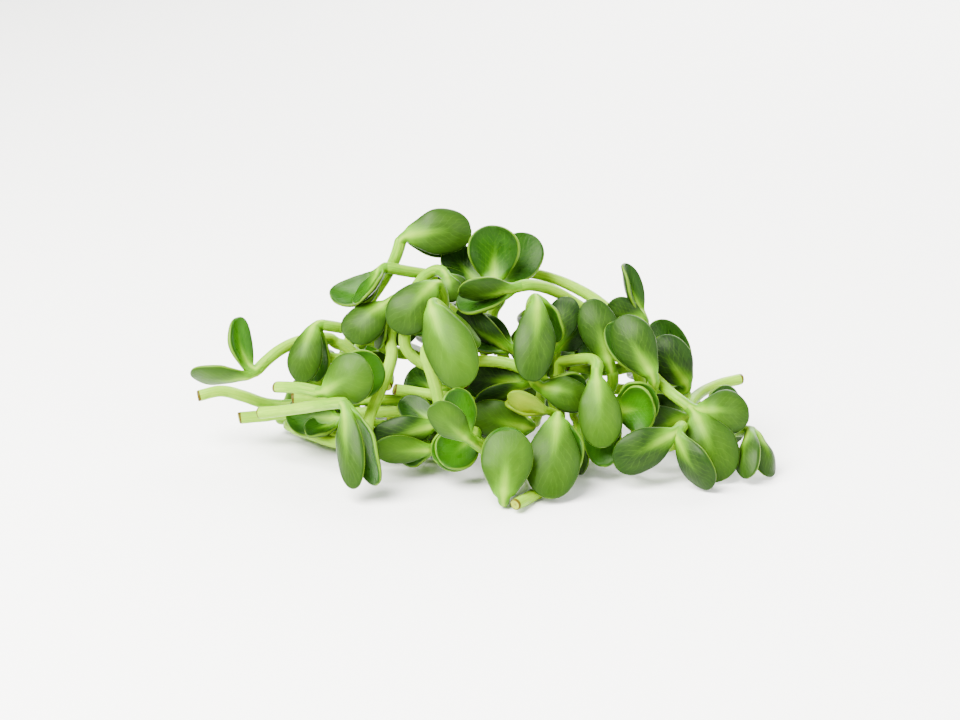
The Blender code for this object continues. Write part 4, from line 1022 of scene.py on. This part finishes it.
class Graph:
    """A tree of nodes, added by short calls. Each call gives an output of the new node."""

    def __init__(self, tree):
        self.tree = tree

    def fill(self, node, given):
        """Set inputs of a node, by name or number, to a link from an output or to a constant."""
        for key, value in given.items():
            if isinstance(value, bpy.types.NodeSocket):
                self.tree.links.new(value, node.inputs[key])
            else:
                node.inputs[key].default_value = value

    def node(self, kind, given, out=0, **settings):
        made = self.tree.nodes.new("ShaderNode" + kind)
        for name, value in settings.items():
            setattr(made, name, value)
        self.fill(made, given)
        return made.outputs[out]

    def read(self, name, out="Fac"):
        return self.node("Attribute", {}, out, attribute_name=name)

    def maths(self, operation, *values, clamp=False):
        return self.node("Math", dict(enumerate(values)), operation=operation, use_clamp=clamp)

    def times(self, first, second):
        return self.maths("MULTIPLY", first, second)

    def plus(self, first, second):
        return self.maths("ADD", first, second)

    def spread(self, value, low, high, to_low=0.0, to_high=1.0):
        """The value's range from low to high, made smooth, as a range of other numbers."""
        given = dict(enumerate((value, low, high, to_low, to_high)))
        return self.node("MapRange", given, interpolation_type="SMOOTHSTEP")

    def blend(self, share, first, second):
        return self.node("Mix", {0: share, 6: first, 7: second}, 2, data_type="RGBA")

    def noise(self, vector, scale, detail, roughness=0.5):
        spot = self.node("Mapping", {"Vector": vector, "Scale": scale})
        given = {"Vector": spot, "Scale": 1, "Detail": detail, "Roughness": roughness}
        return self.node("TexNoise", given, "Fac")


def new_material(name):
    """A material, its graph and its shader."""
    material = bpy.data.materials.new(name)
    material.use_nodes = True
    return material, Graph(material.node_tree), material.node_tree.nodes["Principled BSDF"]


def sprout_skin(name, shown):
    """Fleshy green leaves, pale towards the neck and the rims, on a pale streaked stem."""
    material, graph, shader = new_material(name)
    spread, blend, times, plus, maths = graph.spread, graph.blend, graph.times, graph.plus, graph.maths
    colours = {part: linear(*colour) for part, colour in shown.items()}
    grain = graph.read("grain", "Vector")
    along, across = (graph.node("SeparateXYZ", {0: graph.read("place", "Vector")}, axis) for axis in (0, 1))
    mottle = graph.noise(grain, (420, 420, 260), 4.0, 0.6)
    streaks = graph.noise(grain, (2600, 2600, 130), 2.0)
    cells = graph.noise(grain, (5200, 5200, 4200), 2.0)

    # Side veins leave the middle and bend towards the tip.
    aside = maths("ABSOLUTE", across)
    bent = maths("SUBTRACT", along, times(maths("POWER", aside, 0.8), 0.42))
    line = maths("PINGPONG", times(plus(bent, times(mottle, 0.16)), 9.0), 0.5)
    veins = times(spread(line, 0.0, 0.10, 1.0, 0.0), spread(aside, 0.55, 0.9, 1.0, 0.0))

    # The two faces of a leaf, darker or lighter with the sprout's tone, whose low values are painted shade.
    tone_and_shade_mix = maths("MULTIPLY_ADD", mottle, 0.55, plus(graph.read("tone_and_shade"), -0.28), clamp=True)
    outer = blend(tone_and_shade_mix, colours["outer_dark"], colours["outer_light"])
    inner = blend(tone_and_shade_mix, colours["inner_dark"], colours["inner_light"])
    is_inner = graph.read("inner")
    blade = blend(is_inner, outer, inner)
    blade = blend(times(veins, 0.13), blade, colours["neck"])
    blade = blend(spread(streaks, 0.35, 0.75, 0.0, 0.14), blade, colours["streak"])
    edge = maths("MAXIMUM", spread(aside, 0.4, 0.97), spread(along, 0.70, 1.0, 0.0, 0.8))
    blade = blend(times(edge, spread(mottle, 0.3, 0.7, 0.42, 0.70)), blade, colours["edge"])
    pale = graph.read("pale")
    blade = blend(times(pale, spread(streaks, 0.2, 0.7, 0.60, 0.9)), blade, colours["neck"])
    core = times(maths("POWER", pale, 3.0), spread(aside, 0.0, 0.55, 0.5, 0.0))
    blade = blend(core, blade, colours["stem_streak"])
    blade = blend(times(graph.read("rim"), 0.5), blade, colours["rim"])

    # The stem, from green near the head to pale, and its cut end.
    stem = blend(pale, colours["neck"], colours["stem"])
    stem = blend(spread(streaks, 0.3, 0.8, 0.0, 0.5), stem, colours["stem_streak"])
    stem = blend(spread(mottle, 0.45, 0.8, 0.0, 0.35), stem, colours["stem_green"])
    cut = graph.read("cut")
    end = blend(spread(cut, 0.10, 0.30), colours["cut_rim"], colours["cut_core"])
    end = blend(spread(cut, 0.62, 0.95, 0.0, 0.5), end, colours["cut_rim"])
    stem = blend(spread(cut, 0.0, 0.01), stem, end)

    rough = plus(spread(is_inner, 0.0, 1.0, 0.40, 0.30), spread(mottle, 0.3, 0.7, -0.05, 0.08))
    relief = plus(plus(times(streaks, 0.5), times(cells, 0.25)), times(veins, 0.25))
    bump = graph.node("Bump", {"Strength": 0.35, "Distance": 0.00022, "Height": relief})
    skin = blend(graph.read("stem"), blade, stem)
    graph.fill(shader, {"Base Color": skin, "Roughness": rough, "Normal": bump, **FLESH})
    return material


# How both skins take the light, and their colours as a screen shows them.
FLESH = {
    "Subsurface Weight": 0.10,
    "Subsurface Radius": (0.55, 1.0, 0.15),
    "Subsurface Scale": 0.0014,
    "Specular IOR Level": 0.16,
    "Specular Tint": (0.78, 1.0, 0.6, 1),
    "IOR": 1.42,
}
GREEN = {
    "outer_dark": (8, 21, 10),
    "outer_light": (50, 84, 5),
    "inner_dark": (6, 28, 2),
    "inner_light": (38, 90, 0),
    "streak": (58, 90, 18),
    "neck": (78, 130, 2),
    "rim": (104, 142, 22),
    "edge": (16, 42, 4),
    "stem": (108, 154, 8),
    "stem_streak": (148, 182, 40),
    "stem_green": (66, 118, 0),
    "cut_rim": (66, 54, 6),
    "cut_core": (132, 148, 26),
}
YELLOW = {
    **GREEN,
    "outer_dark": (88, 112, 0),
    "outer_light": (103, 121, 0),
    "inner_dark": (84, 104, 0),
    "inner_light": (98, 112, 0),
    "streak": (98, 116, 0),
    "neck": (80, 116, 0),
    "rim": (94, 116, 0),
    "edge": (48, 86, 0),
}


def plain_floor():
    mesh = bpy.data.meshes.new("floor")
    far = FLOOR_SIZE / 2
    mesh.from_pydata([(-far, -far, 0), (far, -far, 0), (far, far, 0), (-far, far, 0)], [], [(0, 1, 2, 3)])
    made = in_scene("floor", mesh)
    made.location.z = FLOOR_DROP
    material, graph, shader = new_material("floor_white")
    graph.fill(shader, {"Base Color": FLOOR_WHITE, "Roughness": 0.6, "Specular IOR Level": 0.2})
    mesh.materials.append(material)


def soft_light(name, place_at, size, watts, colour):
    """A square lamp that faces the heap."""
    light = bpy.data.lights.new(name, "AREA")
    light.size, light.energy, light.color = size, watts, colour
    made = in_scene(name, light)
    made.location = place_at
    made.rotation_euler = (LIT_SPOT - Vector(place_at)).to_track_quat("-Z", "Y").to_euler()


def studio():
    world = bpy.data.worlds.new("studio")
    world.use_nodes = True
    graph = Graph(world.node_tree)
    rise = graph.node("SeparateXYZ", {0: graph.node("TexCoord", {}, "Generated")}, 2)
    sky = graph.node("MapRange", dict(enumerate((rise, *SKY_RISE, SKY * SKY_LOW, SKY))))
    graph.fill(world.node_tree.nodes["Background"], {"Strength": sky})
    bpy.context.scene.world = world
    for lamp in LAMPS:
        soft_light(*lamp)


def camera_at_the_eye():
    """A camera at the drawing grid's eye, that sees just the grid."""
    camera = bpy.data.cameras.new("camera")
    camera.sensor_width = SENSOR
    camera.lens = SENSOR * EYE_DISTANCE / (GRID_SIZE[0] * STEP)
    made = in_scene("camera", camera)
    turn = Matrix(np.column_stack([RIGHT, UP, -AWAY]).tolist()).to_4x4()
    made.matrix_world = Matrix.Translation(Vector(EYE - HEAP_MIDDLE)) @ turn
    bpy.context.scene.camera = made


def main():
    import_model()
    skins = {
        "sprout_green": sprout_skin("sprout_green_skin", GREEN),
        "young_green": sprout_skin("young_green_skin", YELLOW),
    }
    for number, sprout in enumerate(build_heap()):
        piece = fine_sprout(sprout, number)
        slot = "young_green" if sprout["name"] == YOUNG else "sprout_green"
        piece.data.materials.append(skins[slot])
        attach(piece, "root")
        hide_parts(sprout["name"])
    plain_floor()
    studio()
    camera_at_the_eye()


main()
